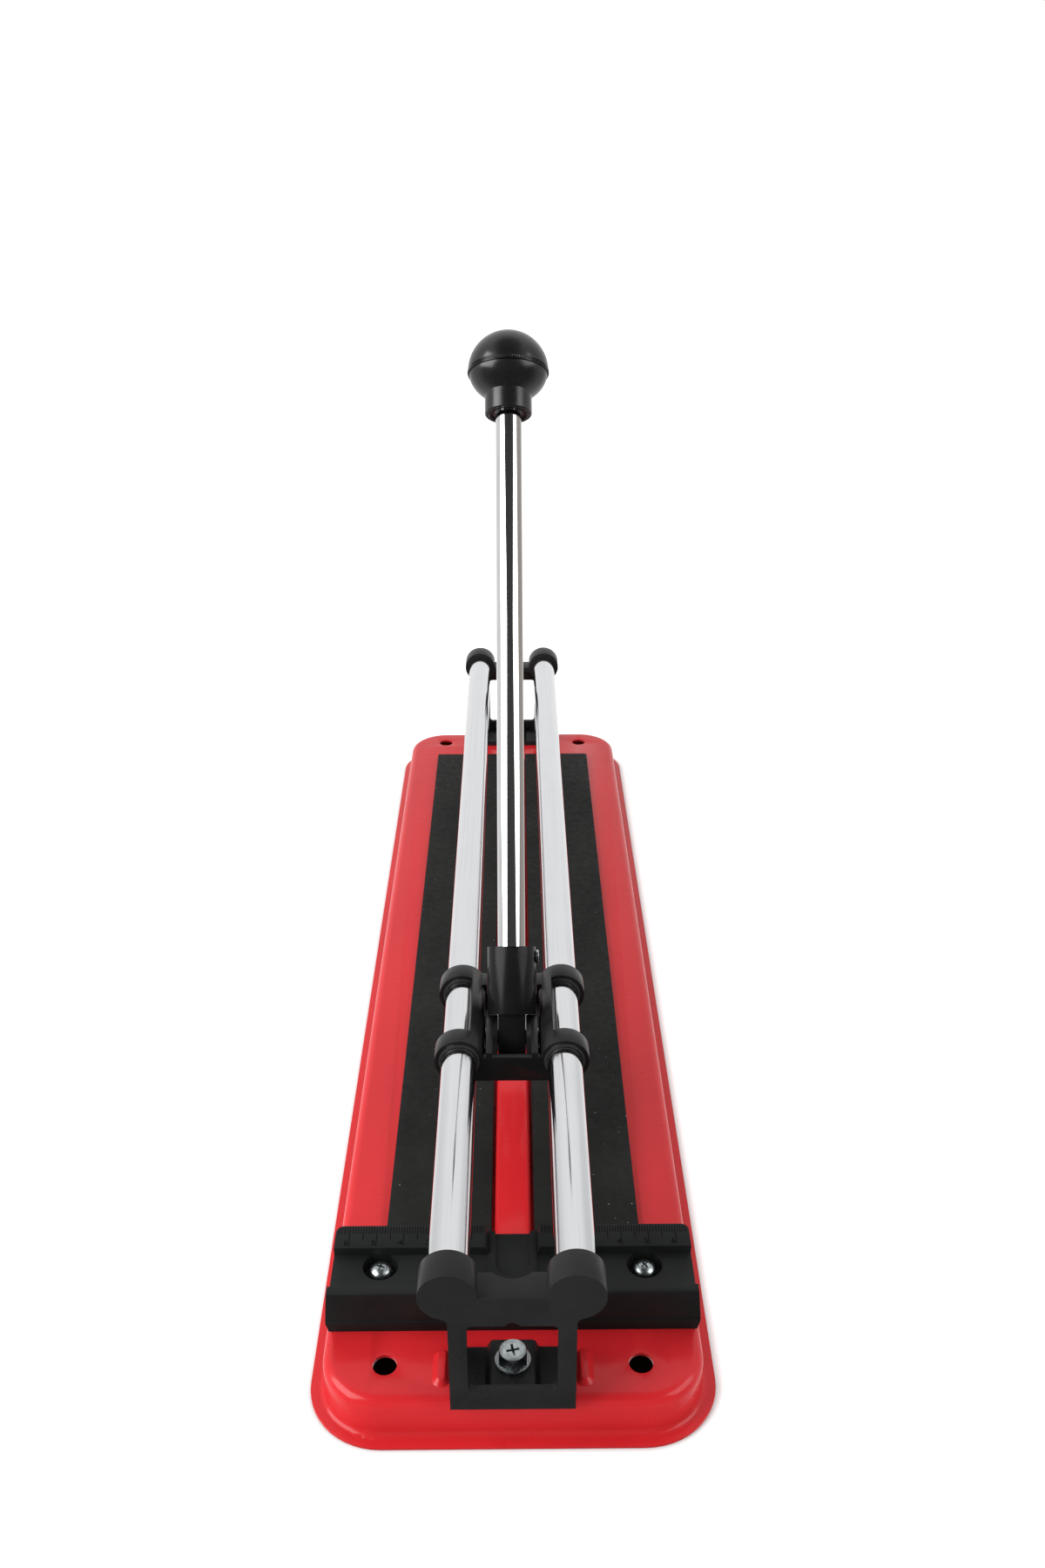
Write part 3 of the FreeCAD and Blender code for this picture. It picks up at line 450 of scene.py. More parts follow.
class Finishes:
    """Every finish of the cutter, made once and shared."""

    def __init__(self) -> None:
        """Make the materials."""
        self.tray_red = PowderPaint("tray_red", (0.530, 0.0175, 0.0215), (0.480, 0.0140, 0.0180)).material()
        self.pad_rubber = RubberSheet("pad_rubber", (0.0072, 0.0072, 0.0068),
                                      (0.0130, 0.0130, 0.0122)).material()
        self.fence_black = Moulding("fence_black", (0.0080, 0.0086, 0.0087), (0.0120, 0.0126, 0.0125),
                                    0.42, 0.00004, 0.14, 0.10).material()
        # near black and matt: painted shade that makes the rule's raised marks read as shaded lines
        self.rule_black = Moulding("fence_black", (0.0012, 0.0012, 0.0012), (0.0024, 0.0024, 0.0024),
                                   0.7, 0.00002, 0.0, 0.05).material()
        self.bracket_black = Moulding("bracket_black", (0.0130, 0.0130, 0.0133), (0.0170, 0.0170, 0.0174),
                                      0.32, 0.00002, sheen=0.12).material()
        self.carriage_black = Moulding("carriage_black", (0.0062, 0.0062, 0.0064), (0.0092, 0.0092, 0.0094),
                                       0.32, 0.00002, sheen=0.24).material()
        self.head_black = Moulding("head_black", (0.0060, 0.0060, 0.0063), (0.0090, 0.0090, 0.0094),
                                   0.24, 0.000012, sheen=0.12).material()
        self.knob_black = Moulding("knob_black", (0.0060, 0.0060, 0.0062), (0.0085, 0.0085, 0.0088),
                                   0.23, 0.00001, 0.04, 0.44).material()
        self.rail_chrome = Plating("rail_chrome", (0.715, 0.72, 0.735), (0.655, 0.66, 0.67), 0.09, 0.17,
                                   ripple=0.000002).material()
        # the rod's right side carries a painted shade band, darker and brownish
        self.rod_chrome = Plating("rod_chrome", (0.84, 0.84, 0.84), (0.30, 0.265, 0.235), 0.03, 0.14,
                                  across=1200.0, along=30.0, lean=LEVER_LEAN, upright=True, ripple=0.000003,
                                  worn_side=(2.9, 3.9)).material()
        self.zinc = Plating("zinc", (0.46, 0.50, 0.51), (0.28, 0.32, 0.32), 0.22, 0.38,
                            across=700.0, along=500.0, ripple=0.00002).material()
        self.pin_steel = Plating("pin_steel", (0.60, 0.60, 0.60), (0.40, 0.40, 0.41), 0.20, 0.36,
                                 across=500.0, along=800.0).material()
        self.wheel_steel = Plating("wheel_steel", (0.50, 0.50, 0.52), (0.34, 0.34, 0.35), 0.18, 0.34,
                                   across=900.0, along=900.0).material()
        self.foot_steel = Plating("foot_steel", (0.55, 0.56, 0.57), (0.38, 0.38, 0.40), 0.26, 0.42,
                                  across=400.0, along=60.0).material()
        self.bush_plastic = Moulding("bush_plastic", (0.020, 0.020, 0.021), (0.030, 0.030, 0.031),
                                     0.5).material()
        self.floor = self._floor()

    @staticmethod
    def _floor() -> bpy.types.Material:
        """The pale studio floor: it glows softly round the cutter, more far away, and has a painted shadow
        below it.

        Returns:
            The finished material.
        """
        shader = Shader("studio_floor")
        shader.fix(Roughness=0.9, Specular_IOR_Level=0.1)
        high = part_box("base_plate")[1]
        corner = 27.3 * MM
        blur = 3.0 * MM
        folded = shader.vector("ABSOLUTE", shader.place)
        beyond = shader.vector("SUBTRACT", folded, (high.x - corner, high.y - corner, 0.0))
        outside = shader.vector("LENGTH", shader.vector("MAXIMUM", beyond, (0.0, 0.0, 0.0)))
        clear = shader.spread(outside, 0.0, 1.0, corner - blur, corner + blur)
        pale = shader.blend(shader.noise(3.0, 2.0), (0.93, 0.93, 0.93), (0.95, 0.95, 0.95))
        # painted shadow: near black under the tray's footprint, blurred at its edge, where the glow is also
        # off
        shader.join(shader.blend(clear, (0.02, 0.02, 0.02), pale), shader.surface.inputs["Base Color"])
        distance = shader.vector("LENGTH", shader.place)
        glow = shader.sum("MULTIPLY", clear, shader.spread(distance, 0.30, 0.70, 0.5, 2.5))
        shader.join(glow, shader.surface.inputs["Emission Strength"])
        shader.surface.inputs["Emission Color"].default_value = (1.0, 1.0, 1.0, 1.0)
        return shader.material


# ---------------------------------------------------------------- bench tools


def clear_selection() -> None:
    """Leave edit mode and select nothing."""
    if bpy.context.object and bpy.context.object.mode != "OBJECT":
        bpy.ops.object.mode_set(mode="OBJECT")
    bpy.ops.object.select_all(action="DESELECT")


def take(obj: bpy.types.Object) -> bpy.types.Object:
    """Select one object alone and make it the active one.

    Args:
        obj: The object.

    Returns:
        The same object.
    """
    clear_selection()
    obj.select_set(True)
    bpy.context.view_layer.objects.active = obj
    return obj


def edit_all(obj: bpy.types.Object) -> None:
    """Enter edit mode with the whole mesh selected.

    Args:
        obj: The object to edit.
    """
    take(obj)
    bpy.ops.object.mode_set(mode="EDIT")
    bpy.ops.mesh.select_all(action="SELECT")


def settle(obj: bpy.types.Object, name: str) -> bpy.types.Object:
    """Leave edit mode, name the piece and put its place into its mesh.

    Args:
        obj: The piece.
        name: Its new name.

    Returns:
        The same piece.
    """
    take(obj)
    bpy.ops.object.transform_apply(location=True, rotation=True, scale=True)
    obj.name = name
    obj.data.name = name
    return obj


def bevelled(obj: bpy.types.Object, width: float, segments: int = 2, angle: float = 32.0) -> bpy.types.Object:
    """Round the sharp edges of a piece with applied modifiers.

    Args:
        obj: The piece.
        width: Bevel width in millimetres.
        segments: Segments across the bevel.
        angle: Edges sharper than this many degrees are rounded.

    Returns:
        The same piece.
    """
    take(obj)
    bevel = obj.modifiers.new("rounded edges", "BEVEL")
    bevel.width = width * MM
    bevel.segments = segments
    bevel.limit_method = "ANGLE"
    bevel.angle_limit = math.radians(angle)
    bevel.use_clamp_overlap = True
    bpy.ops.object.modifier_apply(modifier=bevel.name)
    return obj


def smoothed(obj: bpy.types.Object, angle: float = 38.0) -> bpy.types.Object:
    """Shade a piece smooth across gentle edges only.

    Args:
        obj: The piece.
        angle: Edges sharper than this many degrees stay crisp.

    Returns:
        The same piece.
    """
    take(obj)
    bpy.ops.object.shade_smooth_by_angle(angle=math.radians(angle))
    return obj


def seed_point(point: Vector) -> bpy.types.Object:
    """A mesh with one vertex, in edit mode: a plane merged to its centre.

    Args:
        point: Where the vertex stands, in metres.

    Returns:
        The new object, in edit mode with the vertex selected.
    """
    clear_selection()
    bpy.ops.mesh.primitive_plane_add(size=MM, location=point)
    bpy.ops.object.transform_apply(location=True, rotation=True, scale=True)
    obj = bpy.context.active_object
    edit_all(obj)
    bpy.ops.mesh.merge(type="CENTER")
    return obj


def draw_line(points: list[Vector]) -> bpy.types.Object:
    """A bare line, drawn by extruding one vertex from point to point.

    Args:
        points: The line's points in order, in metres.

    Returns:
        The line, in edit mode with all of it selected.
    """
    obj = seed_point(points[0])
    for start, end in zip(points, points[1:]):
        bpy.ops.mesh.extrude_region_move(TRANSFORM_OT_translate={"value": end - start})
    bpy.ops.mesh.select_all(action="SELECT")
    return obj


def turned(name: str, profile: list[tuple[float, float]], foot: Vector, axis: Vector,
           steps: int = 64) -> bpy.types.Object:
    """Turn a profile on a lathe.

    Args:
        name: The piece's name.
        profile: (radius, height) pairs in millimetres.
        foot: The lathe axis's origin, in metres.
        axis: The lathe axis's direction.
        steps: Steps round the axis.

    Returns:
        The turned piece.
    """
    side = axis.orthogonal().normalized()
    points = [foot + side * (radius * MM) + axis * (height * MM) for radius, height in profile]
    obj = draw_line(points)
    bpy.ops.mesh.spin(steps=steps, angle=math.tau, center=foot, axis=axis)
    bpy.ops.mesh.select_all(action="SELECT")
    bpy.ops.mesh.remove_doubles(threshold=MERGE_GAP)
    bpy.ops.mesh.normals_make_consistent(inside=False)
    settle(obj, name)
    return smoothed(obj)


def prism(name: str, outline: list[Vector], depth: Vector) -> bpy.types.Object:
    """A solid with a flat outline, drawn, filled and extruded.

    Args:
        name: The piece's name.
        outline: Corners in order, in metres.
        depth: The extrusion, in metres.

    Returns:
        The new piece.
    """
    obj = draw_line(outline)
    bpy.ops.mesh.edge_face_add()
    bpy.ops.mesh.extrude_region_move(TRANSFORM_OT_translate={"value": depth})
    bpy.ops.mesh.select_all(action="SELECT")
    bpy.ops.mesh.normals_make_consistent(inside=False)
    return settle(obj, name)


def arc(radius: float, height: float, start: float, end: float, steps: int,
        depth: float | None = None) -> list[tuple[float, float]]:
    """Points of a round or flattened arc on a lathe profile.

    Args:
        radius: The arc's radius in millimetres, centred on the axis.
        height: The arc centre's height.
        start: Start angle in degrees, up from the horizontal.
        end: End angle in degrees.
        steps: Number of steps.
        depth: Half height along the axis where the arc is flattened.

    Returns:
        (radius, height) pairs.
    """
    rise = depth or radius
    angles = [math.radians(start + (end - start) * i / steps) for i in range(steps + 1)]
    return [(max(radius * math.cos(a), 0.0), height + rise * math.sin(a)) for a in angles]


def cut(obj: bpy.types.Object, tool: bpy.types.Object) -> None:
    """Cut a tool's shape out of a piece and throw the tool away.

    Args:
        obj: The piece.
        tool: The closed shape to take away.
    """
    take(obj)
    boolean = obj.modifiers.new("cut", "BOOLEAN")
    boolean.operation = "DIFFERENCE"
    boolean.solver = "EXACT"
    boolean.object = tool
    bpy.ops.object.modifier_apply(modifier=boolean.name)
    bpy.data.objects.remove(tool)


def joined(pieces: list[bpy.types.Object], name: str) -> bpy.types.Object:
    """Join pieces into one object.

    Args:
        pieces: The pieces, of which the first takes in the others.
        name: The joined piece's name.

    Returns:
        The joined piece.
    """
    take(pieces[0])
    for piece in pieces[1:]:
        piece.select_set(True)
    bpy.ops.object.join()
    return settle(pieces[0], name)


def refined(node: str, name: str, width: float = 0.35, segments: int = 2,
            angle: float = 32.0) -> bpy.types.Object:
    """A finished copy of a CAD node, merged, with its sharp edges rounded.

    Args:
        node: The CAD node's name.
        name: The new piece's name.
        width: Edge rounding in millimetres.
        segments: Segments across each rounding.
        angle: Edges sharper than this many degrees are rounded.

    Returns:
        The new piece.
    """
    source = frame["nodes"][node]
    obj = bpy.data.objects.new(name, source.data.copy())
    obj.data.materials.clear()
    bpy.context.scene.collection.objects.link(obj)
    edit_all(obj)
    bpy.ops.mesh.customdata_custom_splitnormals_clear()
    bpy.ops.mesh.remove_doubles(threshold=CAD_MERGE_GAP)
    bpy.ops.mesh.dissolve_limited(angle_limit=FLAT_ENOUGH)
    settle(obj, name)
    if width > 0.0:
        bevelled(obj, width, segments, angle)
    return smoothed(obj)


def fit(obj: bpy.types.Object, body: Body, material: bpy.types.Material, *nodes: str) -> bpy.types.Object:
    """Dress a finished piece, seat it on its body and let it stand for its CAD nodes.

    Args:
        obj: The piece.
        body: The body that it rides on.
        material: Its finish, named like the record's slot.
        nodes: CAD nodes that it replaces.

    Returns:
        The same piece.
    """
    obj.data.materials.clear()
    obj.data.materials.append(material)
    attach(obj, body.value)
    if nodes:
        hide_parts(*nodes)
    LOG.info("%s rides on %s, %d faces", obj.name, body.value, len(obj.data.polygons))
    return obj


@dataclass(frozen=True)
class CrossRecess:
    """A cross driver recess; sizes in millimetres."""

    reach: float
    width: float
    depth: float
    taper: tuple[float, float, float] = (0.35, 0.55, 1.0)

    def press(self, obj: bpy.types.Object, top: Vector, turn: float) -> None:
        """Cut the recess into a screw head.

        Args:
            obj: The screw.
            top: The middle of the head's top, in metres.
            turn: Turn of the cross about Z, in degrees.
        """
        for step in range(2):
            clear_selection()
            size = (2 * self.reach * MM, self.width * MM, 2 * self.depth * MM)
            bpy.ops.mesh.primitive_cube_add(size=1.0, location=top, scale=size,
                                            rotation=(0.0, 0.0, math.radians(turn + 90.0 * step)))
            bar = bpy.context.active_object
            edit_all(bar)
            bpy.ops.mesh.select_all(action="DESELECT")
            bpy.ops.object.mode_set(mode="OBJECT")
            for face in bar.data.polygons:
                face.select = face.normal.z < -0.5
            bpy.ops.object.mode_set(mode="EDIT")
            bpy.ops.transform.resize(value=self.taper)
            bpy.ops.object.mode_set(mode="OBJECT")
            bpy.ops.object.transform_apply(location=True, rotation=True, scale=True)
            cut(obj, bar)


# ---------------------------------------------------------------- sub-assemblies


@dataclass
class Tray:
    """The pressed red tray with its two rubber pads."""

    finishes: Finishes
    edge: float = 0.7
    pad_edge: float = 0.5

    def build(self) -> None:
        """Make the tray and both pads."""
        tray = refined("base_plate", "tray_pressing", self.edge, 3, 28.0)
        fit(tray, Body.FRAME, self.finishes.tray_red, "base_plate")
        for side in Side:
            self._pad(f"{side.value}_pad")

    def _pad(self, node: str) -> None:
        """One rubber pad with rounded edges.

        Args:
            node: The pad's CAD node.
        """
        low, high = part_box(node)
        clear_selection()
        bpy.ops.mesh.primitive_cube_add(size=1.0, location=(low + high) / 2, scale=high - low)
        pad = bpy.context.active_object
        edit_all(pad)
        bpy.ops.mesh.subdivide(number_cuts=6)
        settle(pad, f"{node}_sheet")
        bevelled(pad, self.pad_edge, 3)
        smoothed(pad)
        fit(pad, Body.FRAME, self.finishes.pad_rubber, node)


@dataclass
class Fence:
    """The ruled fence and its two screws."""

    finishes: Finishes
    edge: float = 0.55
    screw_head: float = 3.7
    tick_height: float = 0.10
    tick_width: float = 0.34
    tick_inset: float = 0.6
    sink: float = 0.02
    long_mark: float = 9.4
    middle_mark: float = 6.2
    short_mark: float = 3.4
    figure_size: float = 3.4
    figure_inset: float = 9.6
    figure_shift: float = 0.2
    figure_raise: float = 0.08
    shank_radius: float = 2.0
    rule_half: int = 64
    gap_half: int = 11
    recess: CrossRecess = CrossRecess(2.5, 0.95, 1.5)

    def build(self) -> None:
        """Make the fence body, the rule's marks and the screws."""
        body = refined("fence", "fence_body", self.edge, 3)
        fit(body, Body.FRAME, self.finishes.fence_black, "fence")
        self._rule()
        self._screws()
        fit(refined("fence_nuts", "fence_nut_pair", 0.3), Body.FRAME, self.finishes.zinc, "fence_nuts")

    def _rule(self) -> None:
        """Raised millimetre marks and centimetre figures on the rule, coloured near black as painted shade.
        """
        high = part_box("fence")[1]
        marks = []
        for millimetre in range(-self.rule_half, self.rule_half + 1):
            if abs(millimetre) < self.gap_half:
                continue
            length = self.short_mark
            if millimetre % 10 == 0:
                length = self.long_mark
            elif millimetre % 5 == 0:
                length = self.middle_mark
            marks.append(self._mark(millimetre * MM, length * MM, high))
        for centimetre in range(2, 7):
            for side in (-1, 1):
                marks.append(self._figure(centimetre, side, high))
        # the marks and figures carry the near-black painted shade finish
        fit(joined(marks, "rule_marks"), Body.FRAME, self.finishes.rule_black)

    def _mark(self, x: float, length: float, high: Vector) -> bpy.types.Object:
        """One raised mark of the rule.

        Args:
            x: Where it stands across the fence, in metres.
            length: Its length in metres.
            high: The fence's highest corner.

        Returns:
            The mark.
        """
        half = self.tick_width * MM / 2
        start = high.y - self.tick_inset * MM
        foot = high.z - self.sink * MM
        outline = [Vector((x - half, start, foot)), Vector((x + half, start, foot)),
                   Vector((x + half / 3, start, foot + self.tick_height * MM)),
                   Vector((x - half / 3, start, foot + self.tick_height * MM))]
        return prism("mark", outline, Vector((0.0, -length, 0.0)))

    def _figure(self, number: int, side: int, high: Vector) -> bpy.types.Object:
        """One raised centimetre figure.

        Args:
            number: The figure to show.
            side: -1 for the left half, 1 for the right half.
            high: The fence's highest corner.

        Returns:
            The figure as a mesh.
        """
        clear_selection()
        place = (side * number * 10.0 * MM - self.figure_shift * MM,
                 high.y - self.figure_inset * MM, high.z - self.sink * MM)
        bpy.ops.object.text_add(location=place)
        figure = bpy.context.active_object
        figure.data.body = str(number)
        figure.data.size = self.figure_size * MM
        figure.data.align_x = "RIGHT"
        figure.data.extrude = self.figure_raise * MM
        bpy.ops.object.convert(target="MESH")
        return settle(bpy.context.active_object, "figure")

    def _screws(self) -> None:
        """Two zinc pan-head screws with cross recesses."""
        low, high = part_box("fence_screws")
        middle_y = (low.y + high.y) / 2
        radius = (high.y - low.y) / 2 / MM
        tall = self.screw_head
        tip = tall - (high.z - low.z) / MM
        head = [(0.0, tall), (0.35 * radius, 0.975 * tall), (0.65 * radius, 0.86 * tall),
                (0.86 * radius, 0.62 * tall), (0.97 * radius, 0.32 * tall), (radius, 0.0),
                (self.shank_radius, 0.0), (self.shank_radius, tip), (0.0, tip)]
        screws = []
        for side in (-1, 1):
            middle_x = side * (high.x - radius * MM)
            foot = Vector((middle_x, middle_y, high.z - tall * MM))
            screw = turned("fence_screw", head, foot, Vector(Axis.Z.value), 40)
            self.recess.press(screw, Vector((middle_x, middle_y, high.z)), 28.0 * side + 10.0)
            screws.append(smoothed(screw, CRISP_ANGLE))
        fit(joined(screws, "fence_screw_pair"), Body.FRAME, self.finishes.zinc, "fence_screws")


@dataclass
class Bracket:
    """One end bracket with its flanged bolt."""

    finishes: Finishes
    end: End
    bolt_turn: float
    edge: float = 0.6
    bolt_edge: float = 0.3
    recess: CrossRecess = CrossRecess(3.3, 1.25, 2.2)

    def build(self) -> None:
        """Make the bracket and its bolt."""
        bracket = f"{self.end.value}_bracket"
        body = refined(bracket, f"{bracket}_body", self.edge, 3)
        fit(body, Body.FRAME, self.finishes.bracket_black, bracket)
        node = f"{self.end.value}_bolt"
        bolt = refined(node, f"{bracket}_bolt", self.bolt_edge, 2)
        low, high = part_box(node)
        top = Vector(((low.x + high.x) / 2, (low.y + high.y) / 2, high.z))
        self.recess.press(bolt, top, self.bolt_turn)
        smoothed(bolt, CRISP_ANGLE)
        fit(bolt, Body.FRAME, self.finishes.zinc, node)


@dataclass
class Rails:
    """The two chrome rails."""

    finishes: Finishes
    chamfer: float = 0.8

    def build(self) -> None:
        """Turn both rails."""
        for side in Side:
            node = f"{side.value}_rail"
            low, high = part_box(node)
            radius = (high.z - low.z) / 2 / MM
            length = (high.y - low.y) / MM
            profile = [(0.0, 0.0), (radius - self.chamfer, 0.0), (radius, self.chamfer),
                       (radius, length - self.chamfer), (radius - self.chamfer, length), (0.0, length)]
            foot = Vector(((low.x + high.x) / 2, low.y, (low.z + high.z) / 2))
            rail = turned(f"{node}_bar", profile, foot, Vector(Axis.Y.value), 96)
            fit(rail, Body.FRAME, self.finishes.rail_chrome, node)


@dataclass
class Carriage:
    """The sliding carriage with its bushes and the lever's pin."""

    finishes: Finishes
    edge: float = 0.4

    def build(self) -> None:
        """Make the carriage's pieces."""
        fit(refined("carriage", "carriage_body", self.edge, 2), Body.CARRIAGE,
            self.finishes.carriage_black, "carriage")
        fit(refined("slide_bushes", "slide_bush_set", 0.25), Body.CARRIAGE,
            self.finishes.bush_plastic, "slide_bushes")
        fit(refined("pivot_pin", "lever_pin", 0.3), Body.CARRIAGE, self.finishes.pin_steel, "pivot_pin")
        fit(refined("pivot_clip", "lever_pin_ring", 0.15), Body.CARRIAGE, self.finishes.pin_steel,
            "pivot_clip")


@dataclass
class Lever:
    """The lever: head, clamped rod and ball knob, all on one leaning axis."""

    finishes: Finishes
    head_edge: float = 0.6
    screw_edge: float = 0.25
    rod_chamfer: float = 0.8
    rod_radius: float = 5.75
    rod_start: float = 14.2
    rod_end: float = 282.0
    collar_bottom: float = 270.7
    collar_radius: float = 10.4
    seam: float = 289.4
    dome_centre: float = 291.0
    dome_radius: float = 17.95
    bowl_centre: float = 291.3
    bowl_radius: float = 17.6
    bowl_depth: float = 14.0
    recess: float = 1.8
    groove: float = 0.25
    collar_wall: float = 1.7
    sleeve_wall: float = 1.4
    teeth: int = 108
    tooth_rise: float = 1.0
    tooth_sink: float = 0.30
    tooth_bevel: float = 0.16
    tooth: tuple[float, float, float] = (0.9, 0.60, 1.36)

    def __post_init__(self) -> None:
        """Read the pivot from the frame and set the lever's leaning axis."""
        joint = next(j for j in frame["joints"] if j["name"] == "lever_pivot")
        self.pivot = Vector(joint["pos_m"])
        self.axis = Vector((0.0, math.sin(LEVER_LEAN), math.cos(LEVER_LEAN)))

    def build(self) -> None:
        """Make the lever's pieces."""
        head = refined("lever_head", "lever_head_casting", self.head_edge, 3)
        fit(head, Body.LEVER, self.finishes.head_black, "lever_head")
        screw = refined("clamp_screw", "rod_clamp_screw", self.screw_edge)
        fit(screw, Body.LEVER, self.finishes.zinc, "clamp_screw")
        self._rod()
        self._knob()

    def _rod(self) -> None:
        """The plated rod."""
        radius = self.rod_radius
        profile = [(0.0, self.rod_start), (radius, self.rod_start), (radius, self.rod_end - self.rod_chamfer),
                   (radius - self.rod_chamfer, self.rod_end), (0.0, self.rod_end)]
        rod = turned("handle_rod", profile, self.pivot, self.axis, 96)
        fit(rod, Body.LEVER, self.finishes.rod_chrome, "lever_rod")

    def _knob(self) -> None:
        """The two halves of the ball knob."""
        inner = self.collar_radius - self.collar_wall
        sleeve = self.rod_radius + self.sleeve_wall
        deep = self.collar_bottom + self.recess
        start = -math.degrees(math.acos(self.collar_radius / self.bowl_radius))
        stop = math.degrees(math.asin((self.seam - 0.35 - self.bowl_centre) / self.bowl_depth))
        bowl = [(self.rod_radius, self.collar_bottom + 0.5), (sleeve - 0.2, self.collar_bottom + 0.4),
                (sleeve, self.collar_bottom + 0.7), (sleeve, deep - 0.5), (sleeve + 0.5, deep - 0.5),
                (sleeve + 0.5, deep), (inner - 0.4, deep), (inner - 0.4, deep - 0.7), (inner, deep - 0.8),
                (inner, self.collar_bottom + 0.3), (inner + 0.3, self.collar_bottom),
                (self.collar_radius - 0.5, self.collar_bottom),
                (self.collar_radius, self.collar_bottom + 0.5)]
        bowl += arc(self.bowl_radius, self.bowl_centre, start, stop, 18, self.bowl_depth)
        bowl += [(self.bowl_radius - 0.9, self.seam), (self.rod_radius, self.seam)]
        base = turned("knob_lower_shell", bowl, self.pivot, self.axis, 96)
        fit(base, Body.LEVER, self.finishes.knob_black, "knob_base")
        low = math.degrees(math.asin((self.seam + 1.75 - self.dome_centre) / self.dome_radius))
        waist = self.dome_radius - self.groove
        dome = [(self.dome_radius - 1.4, self.seam), (self.dome_radius - 0.1, self.seam),
                (self.dome_radius - 0.1, self.seam + 0.3), (waist, self.seam + 0.35),
                (waist, self.seam + 1.7)]
        dome += arc(self.dome_radius, self.dome_centre, low, 90.0, 32)
        cap = turned("knob_upper_shell", dome, self.pivot, self.axis, 96)
        fit(cap, Body.LEVER, self.finishes.knob_black, "knob_cap")
        fit(self._teeth(), Body.LEVER, self.finishes.knob_black)

    def _teeth(self) -> bpy.types.Object:
        """The row of fine teeth round the seam of the knob.

        Returns:
            The ring of teeth.
        """
        turn = Matrix.Rotation(-LEVER_LEAN, 4, "X")
        place = self.pivot + self.axis * ((self.seam + self.tooth_rise) * MM)
        reach = Vector(Axis.X.value) * ((self.dome_radius - self.tooth_sink) * MM)
        clear_selection()
        bpy.ops.mesh.primitive_cube_add(size=1.0, location=place + reach, rotation=turn.to_euler(),
                                        scale=[length * MM for length in self.tooth])
        tooth = bpy.context.active_object
        bpy.ops.object.transform_apply(location=True, rotation=True, scale=True)
        edit_all(tooth)
        bpy.ops.mesh.bevel(offset=self.tooth_bevel * MM, segments=1)
        bpy.ops.mesh.select_all(action="SELECT")
        bpy.ops.mesh.spin(steps=self.teeth, angle=math.tau, center=place, axis=self.axis, dupli=True)
        return smoothed(settle(tooth, "knob_seam_teeth"), CRISP_ANGLE)


@dataclass
class CuttingGear:
    """The scoring wheel, its axle and the breaker foot below the carriage."""

    finishes: Finishes

    def build(self) -> None:
        """Make the pieces."""
        plan = [
            ("cutting_wheel", "scoring_wheel", Body.WHEEL, self.finishes.wheel_steel, 0.12),
            ("wheel_axle", "scoring_wheel_axle", Body.LEVER, self.finishes.pin_steel, 0.25),
            ("axle_clip", "scoring_wheel_ring", Body.LEVER, self.finishes.pin_steel, 0.15),
            ("breaker_foot", "breaker_wings", Body.BREAKER, self.finishes.foot_steel, 0.3),
            ("bracket_nuts", "bracket_nut_pair", Body.FRAME, self.finishes.zinc, 0.4),
        ]
        for node, name, body, finish, edge in plan:
            fit(refined(node, name, edge), body, finish, node)


# ---------------------------------------------------------------- studio


@dataclass(frozen=True)
class SoftBox:
    """An area light aimed at the middle of the cutter; sizes in metres, power in watts."""

    name: str
    place: tuple[float, float, float]
    width: float
    height: float
    power: float
    mirrored: bool = True
    target: tuple[float, float, float] = (0.0, 0.0, 0.05)

    def hang(self) -> None:
        """Put the light in the scene; polished surfaces show it only where it is mirrored."""
        light = bpy.data.lights.new(self.name, "AREA")
        light.shape = "RECTANGLE"
        light.size = self.width
        light.size_y = self.height
        light.energy = self.power
        lamp = bpy.data.objects.new(self.name, light)
        lamp.location = self.place
        lamp.visible_glossy = self.mirrored
        aim = Vector(self.target) - Vector(self.place)
        lamp.rotation_euler = aim.to_track_quat("-Z", "Y").to_euler()
        bpy.context.scene.collection.objects.link(lamp)


@dataclass(frozen=True)
class Falloff:
    """A change of the surround's strength along one axis, between two heights on the unit sphere."""

    axis: Axis
    start: float
    end: float
    low: float
    high: float


